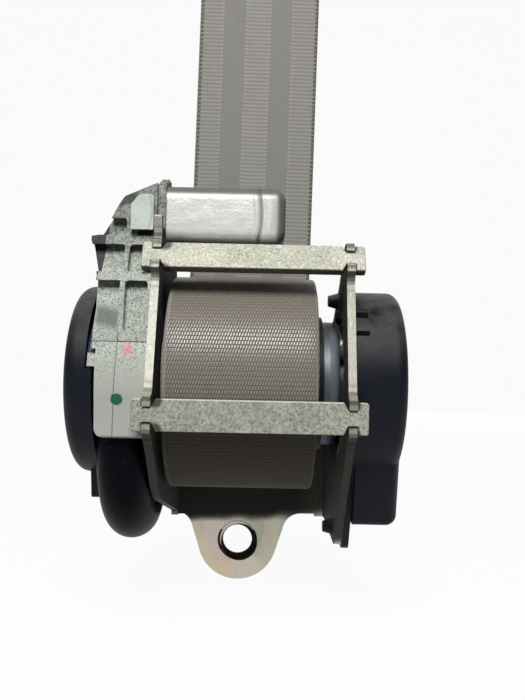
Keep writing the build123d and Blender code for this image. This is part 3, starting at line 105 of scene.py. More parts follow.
# Places on the housing in millimetres: depth of its front, then points across and up
HOUSING_FRONT = -60.0
SMOOTH_PATCH = (-39.0, 84.3)
ROOF_HOLLOW = (-35.2, 122.6)
PARTING_LINE = (-35.1, 80.0)
FLANK_CORNER = (-43.0, 91.0)
FLANK_TOP = 116.2
PINK_MARK = (-31.9, 74.5)
GREEN_MARK = (-34.7, 59.6)

# Borders between the smooth and ribbed stripes of the free webbing, as shares of its width
STRIPE_BORDERS = (0.195, 0.392, 0.592, 0.782)

# Studio places in metres
CAMERA_PLACE = (0.0084, -0.295, 0.0752)
CAMERA_ROLL = math.radians(1.2)
KEY_PLACE = (-0.03, -0.66, 0.74)
BACK_PLACE = (0.25, 0.85, 0.1)
LAMP_AIM = (0.0, -0.04, 0.07)


def linear(red, green, blue):
    """Scene-linear colour of a display colour given from 0 to 255."""
    channels = []
    for value in (red, green, blue):
        share = value / 255
        channels.append(share / 12.92 if share <= 0.04045 else ((share + 0.055) / 1.055) ** 2.4)
    return (*channels, 1.0)


def colour(name, description, default):
    """Colour setting with its default as a display colour."""
    return bpy.props.FloatVectorProperty(name=name, description=description, subtype="COLOR", size=4,
                                         min=0.0, max=1.0, default=linear(*default))


def length(name, description, default, low=0.0):
    """Length setting in metres."""
    return bpy.props.FloatProperty(name=name, description=description, unit="LENGTH", min=low,
                                   default=default, precision=5)


def number(name, description, default, low=0.0, high=1.0):
    """Plain number setting."""
    return bpy.props.FloatProperty(name=name, description=description, min=low, max=high, default=default)


# Sizes and colours that a user would change

class RetractorWebbing(bpy.types.PropertyGroup):
    """Webbing sizes and colours."""
    width: length("Width", "Width of the webbing", ROLL_HIGH.x - ROLL_LOW.x)
    thickness: length("Thickness", "Thickness of one layer", 1.2 * MM)
    slack: length("Slack", "How much looser than the plain roll the webbing is wound", 0.6 * MM)
    inner_radius: length("Inner radius", "Radius where the winding starts", 17.6 * MM)
    rib_pitch: length("Rib pitch", "Distance between the cross ribs", 1.5 * MM)
    yarn_pitch: length("Yarn pitch", "Distance between the lengthwise yarns", 1.05 * MM)
    row_pitch: length("Row pitch", "Distance between the rows of the wound webbing", 1.34 * MM)
    column_pitch: length("Column pitch", "Distance between its columns", 0.86 * MM)
    hem: length("Hem", "Length of the folded and sewn end", 13.0 * MM)
    free_colour: colour("Free webbing", "Colour of the free webbing", (150, 148, 143))
    ribbed_colour: colour("Ribbed stripe", "Colour of its ribbed stripes", (174, 172, 166))
    light_colour: colour("Bright yarns", "Colour of single bright yarns", (205, 202, 194))
    edge_colour: colour("Selvedge", "Colour of the dark yarns in its edges", (84, 72, 68))
    wound_colour: colour("Wound webbing", "Colour of the wound webbing", (142, 133, 121))
    gap_colour: colour("Gaps", "Colour between the yarns", (58, 52, 46))
    thread_colour: colour("Thread", "Colour of the sewing thread", (190, 184, 174))


class RetractorSteel(bpy.types.PropertyGroup):
    """Colours of the steel pieces."""
    upper_bar: colour("Upper bar", "Plating of the upper tie bar", (184, 185, 170))
    # Also the colour of the painted highlight on the upward faces of the bars
    bright: colour("Worn plating", "Bright worn plating", (240, 238, 226))
    # Colour of the painted shade on the bars' downward faces, round their staked notches and in lines beside
    # them on the frame
    painted_bar_shade: colour("Grime", "Grime in the staked joints", (52, 48, 38))
    # Colour of the painted shade on the frame in, behind and under the roll
    painted_shade_steel: colour("Oiled steel", "Oil-darkened steel round the roll", (70, 71, 70))
    lower_bar: colour("Lower bar", "Plating of the lower tie bar", (182, 186, 172))
    # Also the colour of the painted shade line along the cup's crease
    flecks_and_crease_shade: colour("Flecks", "Dark flecks in the plating", (98, 95, 78))
    frame: colour("Frame", "Plating of the frame", (178, 179, 168))
    tab: colour("Tab", "Bright plating of the mounting tab", (216, 211, 200))
    rose: colour("Rose tint", "Rose tint of the passivated plating", (222, 190, 184))
    straw: colour("Straw tint", "Straw tint of the passivated plating", (232, 216, 170))
    sage: colour("Green tint", "Green tint of the passivated plating", (164, 176, 158))
    cup: colour("Cup", "Bright steel of the catch cup", (246, 250, 243))
    # Colour of the painted dark reflection on the cup's upper faces and rounded edges
    painted_dark_reflection: colour("Dull steel", "Dull film on the cup's rounded edges", (78, 86, 79))
    plate: colour("Channel plate", "Bright channel plate", (226, 238, 228))
    bare: colour("Bare steel", "Bare machined steel", (158, 158, 156))
    blued: colour("Spring steel", "Blued spring steel", (72, 78, 96))


class RetractorCasting(bpy.types.PropertyGroup):
    """Colours of the die castings."""
    housing: colour("Housing", "Die-cast housing", (206, 211, 202))
    speck: colour("Specks", "Dark specks of the cast skin", (66, 72, 66))
    # Colour of the smooth patch, darkened as painted shade of a concave corner
    smooth: colour("Smooth patch", "Darker smooth patch below a pocket", (92, 99, 90))
    # Colour of the painted shade on the housing's left flank and in its gaps
    shade: colour("Soot", "Sooty flank and gap of the casting", (34, 38, 35))
    hollow: colour("Hollows", "Cast skin in the hollows", (98, 106, 98))
    pink_mark: colour("Pink mark", "Inspection paint mark", (238, 132, 160))
    green_mark: colour("Green mark", "Inspection paint mark", (18, 112, 86))
    tread_head: colour("Tread head", "Cast end of the spool", (104, 110, 116))
    core: colour("Core", "Cast spool core", (150, 152, 150))


class RetractorPlastic(bpy.types.PropertyGroup):
    """Colours of the plastic, rubber and painted pieces."""
    cover: colour("Covers", "Black moulded covers", (16, 21, 32))
    dust: colour("Dust", "Dust on the upper faces", (88, 90, 88))
    ring: colour("Thrust ring", "Grey thrust ring", (98, 106, 114))
    flange: colour("Flange", "Black flange beside the webbing", (28, 29, 32))
    pale: colour("Pale plastic", "Pale bearing plastic", (206, 202, 190))
    tube: colour("Tube", "Black painted tube", (8, 11, 18))
    seal: colour("Seal", "Black rubber", (30, 30, 30))


class RetractorStudio(bpy.types.PropertyGroup):
    """Light and camera."""
    key: number("Key light", "Power of the light above and in front, in watts", 7.9, 0.0, 100.0)
    back: number("Back light", "Power of the light behind, in watts", 1.6, 0.0, 100.0)
    sky: number("Sky", "Strength of the surrounding light", 0.07, 0.0, 5.0)
    focal: number("Focal length", "Focal length on a 36 mm high sensor", 38.006, 10.0, 200.0)


# Shader building

class Wire:
    """A value in a material; sums, products and comparisons of wires add their Math nodes."""

    def __init__(self, finish, socket):
        self.finish = finish
        self.socket = socket

    def maths(self, operation, *values):
        inputs = {index: value for index, value in enumerate(values)}
        return self.finish.node("Math", {"operation": operation}, inputs)

    def __add__(self, other):
        return self.maths("ADD", self, other)

    def __radd__(self, other):
        return self.maths("ADD", other, self)

    def __sub__(self, other):
        return self.maths("SUBTRACT", self, other)

    def __rsub__(self, other):
        return self.maths("SUBTRACT", other, self)

    def __mul__(self, other):
        return self.maths("MULTIPLY", self, other)

    def __rmul__(self, other):
        return self.maths("MULTIPLY", other, self)

    def __truediv__(self, other):
        return self.maths("DIVIDE", self, other)

    def __pow__(self, other):
        return self.maths("POWER", self, other)

    def __gt__(self, other):
        return self.maths("GREATER_THAN", self, other)

    def __lt__(self, other):
        return self.maths("LESS_THAN", self, other)

    def sine(self):
        return self.maths("SINE", self)

    def size(self):
        return self.maths("ABSOLUTE", self)

    def reach(self, other):
        """Length of the diagonal of two sides at a right angle."""
        return (self ** 2.0 + other ** 2.0) ** 0.5

    def between(self, low, high):
        return (self > low) * (self < high)

    def near(self, middle, inner, outer):
        """1 within the inner distance of a value, falling smoothly to 0 at the outer distance."""
        return 1 - (self - middle).size().ramp(inner, outer)

    def most(self, other):
        return self.maths("MAXIMUM", self, other)

    def floor(self):
        return self.maths("FLOOR", self)

    def share(self):
        return self.maths("FRACT", self)

    def ramp(self, low, high):
        """Smooth step from 0 at low to 1 at high."""
        sockets = {"Value": self, "From Min": low, "From Max": high}
        return self.finish.node("MapRange", {"interpolation_type": "SMOOTHSTEP", "clamp": True}, sockets)


class Finish:
    """One material of the retractor."""

    def __init__(self, name, roughness=0.5, metallic=0.0, specular=0.5):
        self.material = bpy.data.materials.new(name)
        self.material.use_nodes = True
        self.tree = self.material.node_tree
        self.tree.nodes.clear()
        self.surface = self.tree.nodes.new("ShaderNodeBsdfPrincipled")
        output = self.tree.nodes.new("ShaderNodeOutputMaterial")
        self.tree.links.new(self.surface.outputs[0], output.inputs["Surface"])
        self.feed(self.surface.inputs["Roughness"], roughness)
        self.feed(self.surface.inputs["Metallic"], metallic)
        self.feed(self.surface.inputs["Specular IOR Level"], specular)

    def feed(self, socket, value):
        if isinstance(value, Wire):
            self.tree.links.new(value.socket, socket)
        else:
            socket.default_value = value

    def node(self, kind, settings=None, sockets=None, out=0):
        """Add a node of a type with its settings and socket values; returns one of its outputs."""
        made = self.tree.nodes.new("ShaderNode" + kind)
        for name, value in (settings or {}).items():
            setattr(made, name, value)
        for name, value in (sockets or {}).items():
            self.feed(made.inputs[name], value)
        return Wire(self, made.outputs[out])

    def place(self):
        """Place on the piece in millimetres."""
        metres = self.node("TexCoord", out="Object")
        return self.node("VectorMath", {"operation": "SCALE"}, {0: metres, "Scale": 1000.0})

    def along(self):
        """Place on the webbing in millimetres, across and along."""
        metres = self.node("UVMap", {"uv_map": "webbing"})
        return self.node("VectorMath", {"operation": "SCALE"}, {0: metres, "Scale": 1000.0})

    def parts(self, vector):
        split = self.node("SeparateXYZ", sockets={0: vector})
        node = split.socket.node
        return [Wire(self, node.outputs[index]) for index in range(3)]

    def normal(self):
        """Parts of the surface normal along x, y and z."""
        return self.parts(self.node("NewGeometry", out="Normal"))

    def stretch(self, vector, scale):
        return self.node("VectorMath", {"operation": "MULTIPLY"}, {0: vector, 1: scale})

    def noise(self, vector, scale, detail=2.0, roughness=0.5):
        return self.node("TexNoise", sockets={"Vector": vector, "Scale": scale, "Detail": detail,
                                              "Roughness": roughness})

    def cells(self, vector, scale, randomness=1.0):
        return self.node("TexVoronoi", sockets={"Vector": vector, "Scale": scale, "Randomness": randomness})

    def mix(self, factor, first, second):
        return self.node("Mix", {"data_type": "RGBA"}, {0: factor, 6: first, 7: second}, out=2)

    def paint(self, colour_value):
        self.feed(self.surface.inputs["Base Color"], colour_value)

    def rough(self, value):
        self.feed(self.surface.inputs["Roughness"], value)

    def relief(self, height, depth):
        """Bump the surface by a height field of the given depth in metres."""
        bump = self.node("Bump", sockets={"Height": height, "Distance": depth, "Strength": 1.0})
        self.feed(self.surface.inputs["Normal"], bump)


def shade(names, finish):
    """Give a finish to CAD pieces or new pieces by name."""
    for name in names:
        piece = frame["nodes"].get(name) or bpy.data.objects[name]
        piece.data.materials.clear()
        piece.data.materials.append(finish.material)


def smooth_skin(node, body, angle=32.0):
    """Smooth-shaded skin of a CAD piece with its faces joined."""
    source = frame["nodes"][node]
    skin = source.copy()
    skin.data = source.data.copy()
    skin.name = node + "_skin"
    skin.parent = None
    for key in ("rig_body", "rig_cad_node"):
        if key in skin:
            del skin[key]
    bpy.context.scene.collection.objects.link(skin)
    bpy.ops.object.select_all(action="DESELECT")
    skin.select_set(True)
    bpy.context.view_layer.objects.active = skin
    bpy.ops.object.mode_set(mode="EDIT")
    bpy.ops.mesh.customdata_custom_splitnormals_clear()
    bpy.ops.mesh.select_all(action="SELECT")
    bpy.ops.mesh.remove_doubles(threshold=0.000002)
    bpy.ops.object.mode_set(mode="OBJECT")
    bpy.ops.object.shade_smooth_by_angle(angle=math.radians(angle))
    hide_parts(node)
    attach(skin, body)
    return skin


def skins(nodes):
    """Smooth skins for several CAD pieces, each on the body that the record gives it."""
    made = []
    for node in nodes:
        body = next(name for name, group in frame["record"]["behaviour"]["bodies"].items() if node in group)
        made.append(smooth_skin(node, body))
    return made


# Finishes

def plated_finish(name, base, settings, bar, amount, tilt):
    """Zinc-plated bar with fine flecks and worn bright spots, a painted highlight on its upward faces, and
    painted shade on its downward faces and round its staked notches.
    """
    finish = Finish(name, 0.42, 0.2, specular=0.3)
    spot = finish.place()
    x, _, z = finish.parts(spot)
    up = finish.normal()[2] - tilt
    cloud = finish.noise(spot, 0.12, 3.0, 0.6)
    fine = finish.noise(spot, 1.3, 5.0, 0.8)
    dots = finish.cells(spot, 1.3)
    tone = finish.mix(cloud.ramp(0.35, 0.7) * 0.35, base, settings.bright)
    tone = finish.mix((1 - fine.ramp(0.36, 0.48)) * 0.5, tone, settings.bright)
    tone = finish.mix(fine.ramp(0.47, 0.62) * amount, tone, settings.flecks_and_crease_shade)
    tone = finish.mix((dots < 0.2) * amount, tone, settings.flecks_and_crease_shade)
    # Painted highlight on faces that look up, painted shade on faces that look down
    tone = finish.mix(up.ramp(0.12, 0.4) * 0.6, tone, settings.bright)
    tone = finish.mix((up * -1).ramp(0.3, 0.75) * 0.8, tone, settings.painted_bar_shade)
    # Painted shade round the staked notches at each end of the bar
    low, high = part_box(bar)
    inset = 1.25
    for wall in (WALL_FACES[0] + inset, WALL_FACES[1] - inset):
        for edge in (low.z / MM + 0.4, high.z / MM - 0.4):
            away = (x - wall).reach(z - edge) + fine * 0.8
            tone = finish.mix((1 - away.ramp(1.9, 3.1)) * 0.85, tone, settings.painted_bar_shade)
    finish.paint(tone)
    finish.rough(0.34 + 0.22 * fine)
    finish.relief(fine - (dots < 0.18) * 0.5, 0.0001)
    return finish


def passivated_finish(name, settings):
    """Frame plating: bright tinted tab, plain walls, and painted shade on the steel round and behind the
    roll.
    """
    finish = Finish(name, 0.4, 0.2, specular=0.25)
    spot = finish.place()
    x, y, z = finish.parts(spot)
    side, front, up = finish.normal()
    brushed = finish.stretch(spot, (1.0, 1.0, 0.4))
    straw = finish.noise(brushed, 0.11, 1.0, 0.4)
    rose = finish.noise(finish.stretch(spot, (1.0, 1.0, 0.6)), 0.13, 2.0, 0.5)
    sage = finish.noise(brushed, 0.16, 2.0, 0.5)
    fine = finish.noise(spot, 1.6, 4.0, 0.75)
    streaks = finish.noise(finish.stretch(spot, (5.0, 1.0, 0.3)), 0.9, 3.0, 0.6)
    wander = (finish.noise(spot, 0.08, 1.0, 0.4) - 0.5) * 6.0 - x * 0.06
    tab = 1 - (z + wander).ramp(TAB_TOP - 5.0, TAB_TOP)

    # Painted shade: inner wall faces, plate behind the roll (lighter towards the right wall), faces that look
    # down, and the hole with its countersink, whose painted shadow is widest at the lower right; the edges of
    # the toothed ring are darkened too
    inner = (side.size() > 0.6) * x.between(WALL_FACES[0] - 0.6, WALL_FACES[1] + 0.6)
    behind = (front < -0.6) * (y > -4.0) * (1 - tab)
    downward = (up * -1).ramp(0.15, 0.6) * (1 - tab)
    shadow = 1 - (x - 0.7).reach(z + 1.0).ramp(HOLE_RADIUS + 1.2, HOLE_RADIUS + 1.6)
    bore = 1 - x.reach(z).ramp(HOLE_RADIUS + 0.1, HOLE_RADIUS + 0.3)
    hole = shadow.most(bore)
    from_axis = (y - AXIS.y / MM).reach(z - AXIS.z / MM)
    ring = (1 - from_axis.ramp(30.0, 32.0)) * (side.size() < 0.6)
    painted_shade = inner.most(behind * (1 - x.ramp(22.0, 31.0) * 0.35)).most(downward * 0.8).most(hole).most(ring)

    # Tints of the passivation, strongest on the tab, and a painted highlight below the hole
    base = finish.mix(tab, settings.frame, settings.tab)
    tone = finish.mix(straw.ramp(0.45, 0.65) * (0.15 + 0.3 * tab), base, settings.straw)
    left_half = (1 - x.ramp(-6.0, 5.0)) * tab
    tone = finish.mix(left_half * 0.35 + rose.ramp(0.5, 0.66) * (0.1 + 0.5 * tab), tone, settings.rose)
    lower_right = (x + z * 0.4).ramp(2.0, 9.0) * tab
    tone = finish.mix(sage.ramp(0.55, 0.68) * 0.4 + lower_right * 0.4, tone, settings.sage)
    # Painted highlight: straw streak below and left of the hole
    highlight_below_hole = ((x + 5.5) * 0.12 ** 0.5).reach((z + 9.0 - x * 0.5) * 0.5 ** 0.5)
    tone = finish.mix((1 - highlight_below_hole.ramp(0.4, 2.6)) * tab * 0.5, tone, settings.straw)
    left_edge = (x + z * 0.35).near(-14.0, 0.5, 2.2)
    tone = finish.mix(left_edge * tab * 0.45, tone, settings.straw)

    # Wear, flecks, darker plating towards the right wall, and painted shade lines round the staked joints
    tone = finish.mix(x.ramp(24.0, 30.0) * (1 - tab) * 0.3, tone, settings.flecks_and_crease_shade)
    tone = finish.mix(streaks.ramp(0.52, 0.72) * (0.5 - 0.25 * tab), tone, settings.bright)
    tone = finish.mix(fine.ramp(0.5, 0.66) * (0.5 - 0.42 * tab), tone, settings.flecks_and_crease_shade)
    # Painted shade: dark lines round the bars' staked joints on the frame's front edges
    for bar in ("lower_tie_bar", "upper_tie_bar"):
        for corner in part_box(bar):
            away = (z - corner.z / MM + fine * 0.8 - 0.4).size()
            bands = (away * 2.6 + 1.2).sine().ramp(-0.2, 0.6) * (1 - away.ramp(3.6, 6.0))
            tone = finish.mix(bands * (y < -50.0) * 0.6, tone, settings.painted_bar_shade)
    # Painted shade mixed over the plating
    tone = finish.mix(painted_shade * 0.92, tone, settings.painted_shade_steel)
    finish.paint(tone)
    finish.feed(finish.surface.inputs["Metallic"], (0.15 + 0.7 * tab) * (1 - painted_shade))
    finish.rough(0.28 + 0.18 * fine + 0.35 * painted_shade + 0.3 * hole)
    finish.relief(fine + streaks * 0.6, 0.00006)
    return finish


def cast_finish(settings):
    """Housing casting: dark specks, a smooth patch with painted shade, painted shade on the flank and in the
    gaps, a parting line, two paint marks.
    """
    finish = Finish("die_cast_housing", 0.55, 0.1, specular=0.3)
    spot = finish.place()
    x, y, z = finish.parts(spot)
    grit = finish.cells(spot, 1.5)
    fine = finish.noise(spot, 2.4, 3.0, 0.7)
    cloud = finish.noise(spot, 0.3, 3.0, 0.6)
    blotch = finish.noise(spot, 0.9, 4.0, 0.75)
    pale = finish.cells(finish.stretch(spot, (1.0, 1.0, 0.9)), 1.1)
    upper = z.ramp(60.0, 82.0)
    ahead = y < HOUSING_FRONT
    specks = (grit < 0.3) * (fine > 0.42) * (0.08 + 0.92 * upper - 0.45 * z.ramp(98.0, 108.0))
    dust = (0.25 + 0.75 * blotch.ramp(0.42, 0.58)) * (0.02 + 0.68 * upper + 0.6 * z.ramp(94.0, 108.0))

    # Smooth patch that slopes down to the right, darkened as painted shade of a concave corner
    patch_x, patch_z = SMOOTH_PATCH
    smooth = x.near(patch_x, 2.6, 4.6) * (z + (x - patch_x) * 0.2).near(patch_z, 1.4, 5.0) * ahead

    # Painted shade on the left flank, in the gaps below and beside the channel plate and in the hollow under
    # the roof
    flank_x, flank_z = FLANK_CORNER
    flank = (x - (z - flank_z) * 0.075 < flank_x) * z.between(flank_z, FLANK_TOP)
    flank = flank.most((finish.normal()[0] < -0.75) * (z > 79.0))
    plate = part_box("channel_plate")[0] / MM
    below = (x > plate.x + 1.2) * z.between(plate.z - 1.3, plate.z + 1.5)
    beside = x.between(plate.x - 0.1, plate.x + 1.1) * z.between(plate.z - 0.8, plate.z + 5.4)
    roof_x, roof_z = ROOF_HOLLOW
    roof = x.near(roof_x, 2.4, 3.6) * (z - (x + 35.0) * 0.35).near(roof_z, 1.2, 2.3)
    gaps = (below + beside).most(roof * 0.8) * (y < HOUSING_FRONT + 5.0)

    greenish = (0.62, 0.66, 0.6, 1.0)
    tone = finish.mix(cloud.ramp(0.35, 0.7) * 0.25, settings.housing, greenish)
    tone = finish.mix(dust * 0.62 * (1 - smooth), tone, settings.hollow)
    tone = finish.mix(z.ramp(96.0, 112.0) * 0.3, tone, settings.speck)
    tone = finish.mix((pale < 0.24) * (blotch > 0.46) * upper * 0.35, tone, settings.housing)
    tone = finish.mix(specks * 0.8 * (1 - smooth), tone, settings.speck)
    tone = finish.mix(smooth * 0.85, tone, settings.smooth)
    # Painted shade on the flank and in the gaps
    tone = finish.mix(flank.most(gaps) * 0.92, tone, settings.shade)
    line_x, line_top = PARTING_LINE
    line = ((x + (line_top - z) * 0.03 - line_x).size() < 0.14) * (z < line_top) * ahead
    tone = finish.mix(line * 0.6, tone, settings.speck)

    # Pink mark, worn through in spots, and the denser green mark
    wobble = (finish.noise(spot, 0.9, 2.0, 0.5) - 0.5) * 0.9
    worn = 0.35 + 0.65 * (fine > 0.47)
    for centre, radius, mark, cover in ((PINK_MARK, 1.75, settings.pink_mark, worn * 0.75),
                                        (GREEN_MARK, 1.85, settings.green_mark, 0.97)):
        away = (x - centre[0]).reach(z - centre[1]) + wobble
        blot = (1 - away.ramp(radius - 0.25, radius + 0.1)) * ahead
        tone = finish.mix(blot * cover, tone, mark)
    finish.paint(tone)
    finish.rough(0.42 + 0.3 * fine)
    finish.relief(fine * 0.7 - specks - line, 0.00009)
    return finish


def drawn_steel_finish(name, base, settings, piece, crease_share, rounded, metallic=0.35):
    """Bright drawn steel with faint drawing lines, smudges, one upright crease with a painted shade line, and
    painted dark reflection on upper faces, rounded rims and faces turned from the view.
    """
    finish = Finish(name, 0.3, metallic, specular=0.4)
    spot = finish.place()
    x, _, z = finish.parts(spot)
    up = finish.normal()[2]
    turned = finish.node("LayerWeight", sockets={"Blend": 0.5}, out=1)
    low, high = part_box(piece)
    bow = ((z - low.z / MM) * (math.pi / ((high.z - low.z) / MM))).sine() * 1.1
    away = x - (low.x + crease_share * (high.x - low.x)) / MM - bow
    crease = away.near(2.6, 0.0, 2.4) * 0.9 + away.near(-1.6, 0.0, 1.2) * 0.6 - away.near(0.0, 0.0, 0.8)
    lines = finish.noise(finish.stretch(spot, (0.15, 2.4, 2.4)), 1.0, 3.0, 0.6)
    smudge = finish.noise(spot, 0.2, 3.0, 0.6)
    fine = finish.noise(spot, 1.5, 4.0, 0.75)
    tone = finish.mix(smudge.ramp(0.5, 0.75) * 0.2, base, settings.sage)
    tone = finish.mix(fine.ramp(0.58, 0.7) * 0.3, tone, settings.flecks_and_crease_shade)
    # Painted shade line along the crease
    tone = finish.mix(away.near(0.0, 0.1, 0.55) * (0.25 + 0.35 * rounded), tone, settings.flecks_and_crease_shade)
    past_side = (x - high.x / MM + 5.2).most(0.0)
    past_top = (z - high.z / MM + 4.2).most(0.0)
    rim = past_side.reach(past_top).ramp(1.4, 3.4)
    # Painted dark reflection on faces turned from the view, upper faces and the rounded rim
    dust_and_dark_reflection = turned.ramp(0.1, 0.5).most(up.ramp(0.15, 0.6)).most(rim) * rounded
    tone = finish.mix(dust_and_dark_reflection * 0.9, tone, settings.painted_dark_reflection)
    finish.paint(tone)
    finish.feed(finish.surface.inputs["Metallic"], metallic * (1 - dust_and_dark_reflection))
    finish.rough(0.28 + 0.14 * lines + 0.08 * smudge + 0.35 * dust_and_dark_reflection)
    finish.relief(lines * 0.12 + fine * 0.1 + crease * (0.2 + rounded) + smudge * 0.8, 0.0003)
    return finish


def moulded_finish(name, base, dust, dusty=0.8, roughness=0.46):
    """Moulded plastic with spark-eroded grain, scuffs and dust on its upper faces."""
    finish = Finish(name, roughness, specular=0.2)
    spot = finish.place()
    grain = finish.noise(spot, 3.2, 2.0, 0.6)
    patch = finish.noise(spot, 0.12, 4.0, 0.65)
    scuff = finish.noise(finish.stretch(spot, (0.5, 1.0, 2.6)), 0.7, 4.0, 0.7)
    up = finish.normal()[2]
    dust_and_dark_reflection = up.ramp(0.1, 0.85) * patch.ramp(0.2, 0.65) * dusty
    tone = finish.mix(dust_and_dark_reflection, base, dust)
    tone = finish.mix((scuff > 0.64) * 0.16, tone, dust)
    finish.paint(tone)
    finish.rough(roughness + 0.16 * grain - 0.06 * patch)
    finish.relief(grain, 0.00004)
    return finish


def machined_finish(name, base, metallic=0.85, roughness=0.32):
    """Turned or ground metal with fine tool lines round the spool axis."""
    finish = Finish(name, roughness, metallic)
    spot = finish.place()
    x, y, z = finish.parts(spot)
    radius = (y - AXIS.y / MM).reach(z - AXIS.z / MM)
    lines = (radius * 9.0 + x * 9.0).sine()
    fine = finish.noise(spot, 1.6, 4.0, 0.7)
    stain = (0.12, 0.12, 0.12, 1.0)
    tone = finish.mix((fine > 0.58) * 0.35, base, stain)
    finish.paint(tone)
    finish.rough(roughness + 0.12 * fine)
    finish.relief(lines * 0.3 + fine * 0.5, 0.00002)
    return finish


def woven_finish(settings):
    """Free webbing: ribbed and smooth stripes, bright yarns at their borders, dark dotted selvedges."""
    finish = Finish("free_webbing", 0.62, 0.0, specular=0.35)
    spot = finish.along()
    across, along, _ = finish.parts(spot)
    width = settings.width / MM
    share = across / width
    drift = finish.noise(finish.stretch(spot, (0.25, 0.6, 1.0)), 0.5, 3.0, 0.6)
    wander = (finish.noise(spot, 0.9, 2.0, 0.5) - 0.5) * 0.012
    place = share + wander
    middle = place.between(*STRIPE_BORDERS[1:3])
    ribbed = (place < STRIPE_BORDERS[0]) + middle + (place > STRIPE_BORDERS[3])
    rib_turn = 2 * math.pi / (settings.rib_pitch / MM)
    rib = (along * rib_turn).sine() * 0.5 + 0.5
    yarn = (across * (2 * math.pi / (settings.yarn_pitch / MM))).sine() * 0.5 + 0.5
    cross = (along * (2 * rib_turn) + across * 1.2).sine() * 0.5 + 0.5
    hairs = finish.noise(finish.stretch(spot, (2.2, 1.4, 1.0)), 1.6, 4.0, 0.75)
    patch = finish.noise(spot, 0.35, 3.0, 0.6)
    knots = rib * (0.55 + 0.45 * yarn)
    plain = 0.3 + 0.6 * cross * yarn
    height = ribbed * knots + (1 - ribbed) * plain
    tone = finish.mix(ribbed * (0.25 + 0.3 * knots) + middle * 0.12, settings.free_colour,
                      settings.ribbed_colour)
    tone = finish.mix(hairs.ramp(0.48, 0.68) * (0.2 + 0.35 * ribbed * knots), tone, settings.light_colour)
    tone = finish.mix((1 - height) * 0.14 + (1 - hairs.ramp(0.34, 0.52)) * 0.2, tone, settings.gap_colour)
    tone = finish.mix(drift.ramp(0.5, 0.8) * 0.1 + patch.ramp(0.55, 0.75) * 0.06, tone, settings.gap_colour)
    clear = 1.0
    for border in STRIPE_BORDERS:
        clear = clear * ((place - border) * width).size().ramp(0.1, 0.6)
    tone = finish.mix((1 - clear) * (rib > 0.6) * 0.35, tone, settings.light_colour)
    from_middle = (share - 0.5).size()
    dot = (along * (2 * math.pi / 1.7)).sine() > -0.1
    edge = from_middle.between(0.468, 0.492) * (0.2 + 0.6 * dot)
    tone = finish.mix(edge, tone, settings.edge_colour)
    finish.paint(tone)
    finish.rough(0.6 + 0.25 * (1 - height))
    finish.relief(height + hairs * 0.3, 0.00007)
    return finish


def wound_finish(settings):
    """Wound webbing: short bright yarns set like bricks over dark gaps, shiny where the roll faces up."""
    finish = Finish("wound_webbing", 0.4, 0.0, specular=1.0)
    spot = finish.along()
    across, along, _ = finish.parts(spot)
    row = along / settings.row_pitch * MM
    odd_row = (row.floor() * 0.5).share() * 2.0
    lean = (row.share() - 0.5) * 0.35
    column = across / settings.column_pitch * MM + odd_row * 0.5 + lean
    bright = column.share().near(0.5, 0.1, 0.475) * row.share().near(0.5, 0.31, 0.5)
    uneven = finish.noise(finish.stretch(spot, (1.0, 0.25, 1.0)), 0.6, 3.0, 0.6)
    hairs = finish.noise(finish.stretch(spot, (3.0, 1.0, 1.0)), 1.8, 3.0, 0.7)
    tone = finish.mix(0.25 + 0.75 * bright, settings.gap_colour, settings.wound_colour)
    tone = finish.mix(uneven.ramp(0.5, 0.8) * 0.25, tone, settings.gap_colour)
    tone = finish.mix(bright * hairs.ramp(0.5, 0.7) * 0.5, tone, settings.light_colour)
    selvedge = ((across / (settings.width / MM) - 0.5).size() > 0.474) * 0.4
    tone = finish.mix(selvedge, tone, settings.ribbed_colour)
    finish.paint(tone)
    up = finish.normal()[2].ramp(-0.25, 0.2)
    finish.rough(0.98 - (0.2 + 0.48 * bright * (0.5 + hairs)) * up)
    finish.relief(bright + hairs * 0.5, 0.00006)
    return finish


# Webbing pieces

def band_mesh(name, places, half_width, half_thickness):
    """Closed band with rounded edges, swept through (centre, across, outward, distance along)."""
    section = [(-1.0, 0.0), (-0.985, 0.7), (-0.955, 1.0), (0.955, 1.0), (0.985, 0.7), (1.0, 0.0),
               (0.985, -0.7), (0.955, -1.0), (-0.955, -1.0), (-0.985, -0.7)]
    spans = 14
    ring = []
    for index, corner in enumerate(section):
        ring.append(corner)
        if index in (2, 7):
            other = section[index + 1]
            for step in range(1, spans):
                share = step / spans
                ring.append((corner[0] + (other[0] - corner[0]) * share, corner[1]))
    mesh = bpy.data.meshes.new(name)
    build = bmesh.new()
    layer = build.loops.layers.uv.new("webbing")
    rows = []
    for centre, across, outward, _ in places:
        row = []
        for u, v in ring:
            row.append(build.verts.new(centre + across * (u * half_width) + outward * (v * half_thickness)))
        rows.append(row)
    count = len(ring)

    def widths(index):
        return (ring[index % count][0] + 1.0) * half_width

    for step in range(len(rows) - 1):
        for index in range(count):
            after = (index + 1) % count
            face = build.faces.new((rows[step][index], rows[step][after], rows[step + 1][after],
                                    rows[step + 1][index]))
            marks = ((widths(index), places[step][3]), (widths(after), places[step][3]),
                     (widths(after), places[step + 1][3]), (widths(index), places[step + 1][3]))
            for loop, mark in zip(face.loops, marks):
                loop[layer].uv = mark
    for row, distance in ((rows[0], places[0][3]), (rows[-1], places[-1][3])):
        face = build.faces.new(row)
        for index, loop in enumerate(face.loops):
            loop[layer].uv = (widths(index), distance)
    bmesh.ops.recalc_face_normals(build, faces=build.faces)
    build.to_mesh(mesh)
    build.free()
    piece = bpy.data.objects.new(name, mesh)
    bpy.context.scene.collection.objects.link(piece)
    bpy.ops.object.select_all(action="DESELECT")
    piece.select_set(True)
    bpy.context.view_layer.objects.active = piece
    bpy.ops.object.shade_smooth_by_angle(angle=math.radians(38))
    return piece


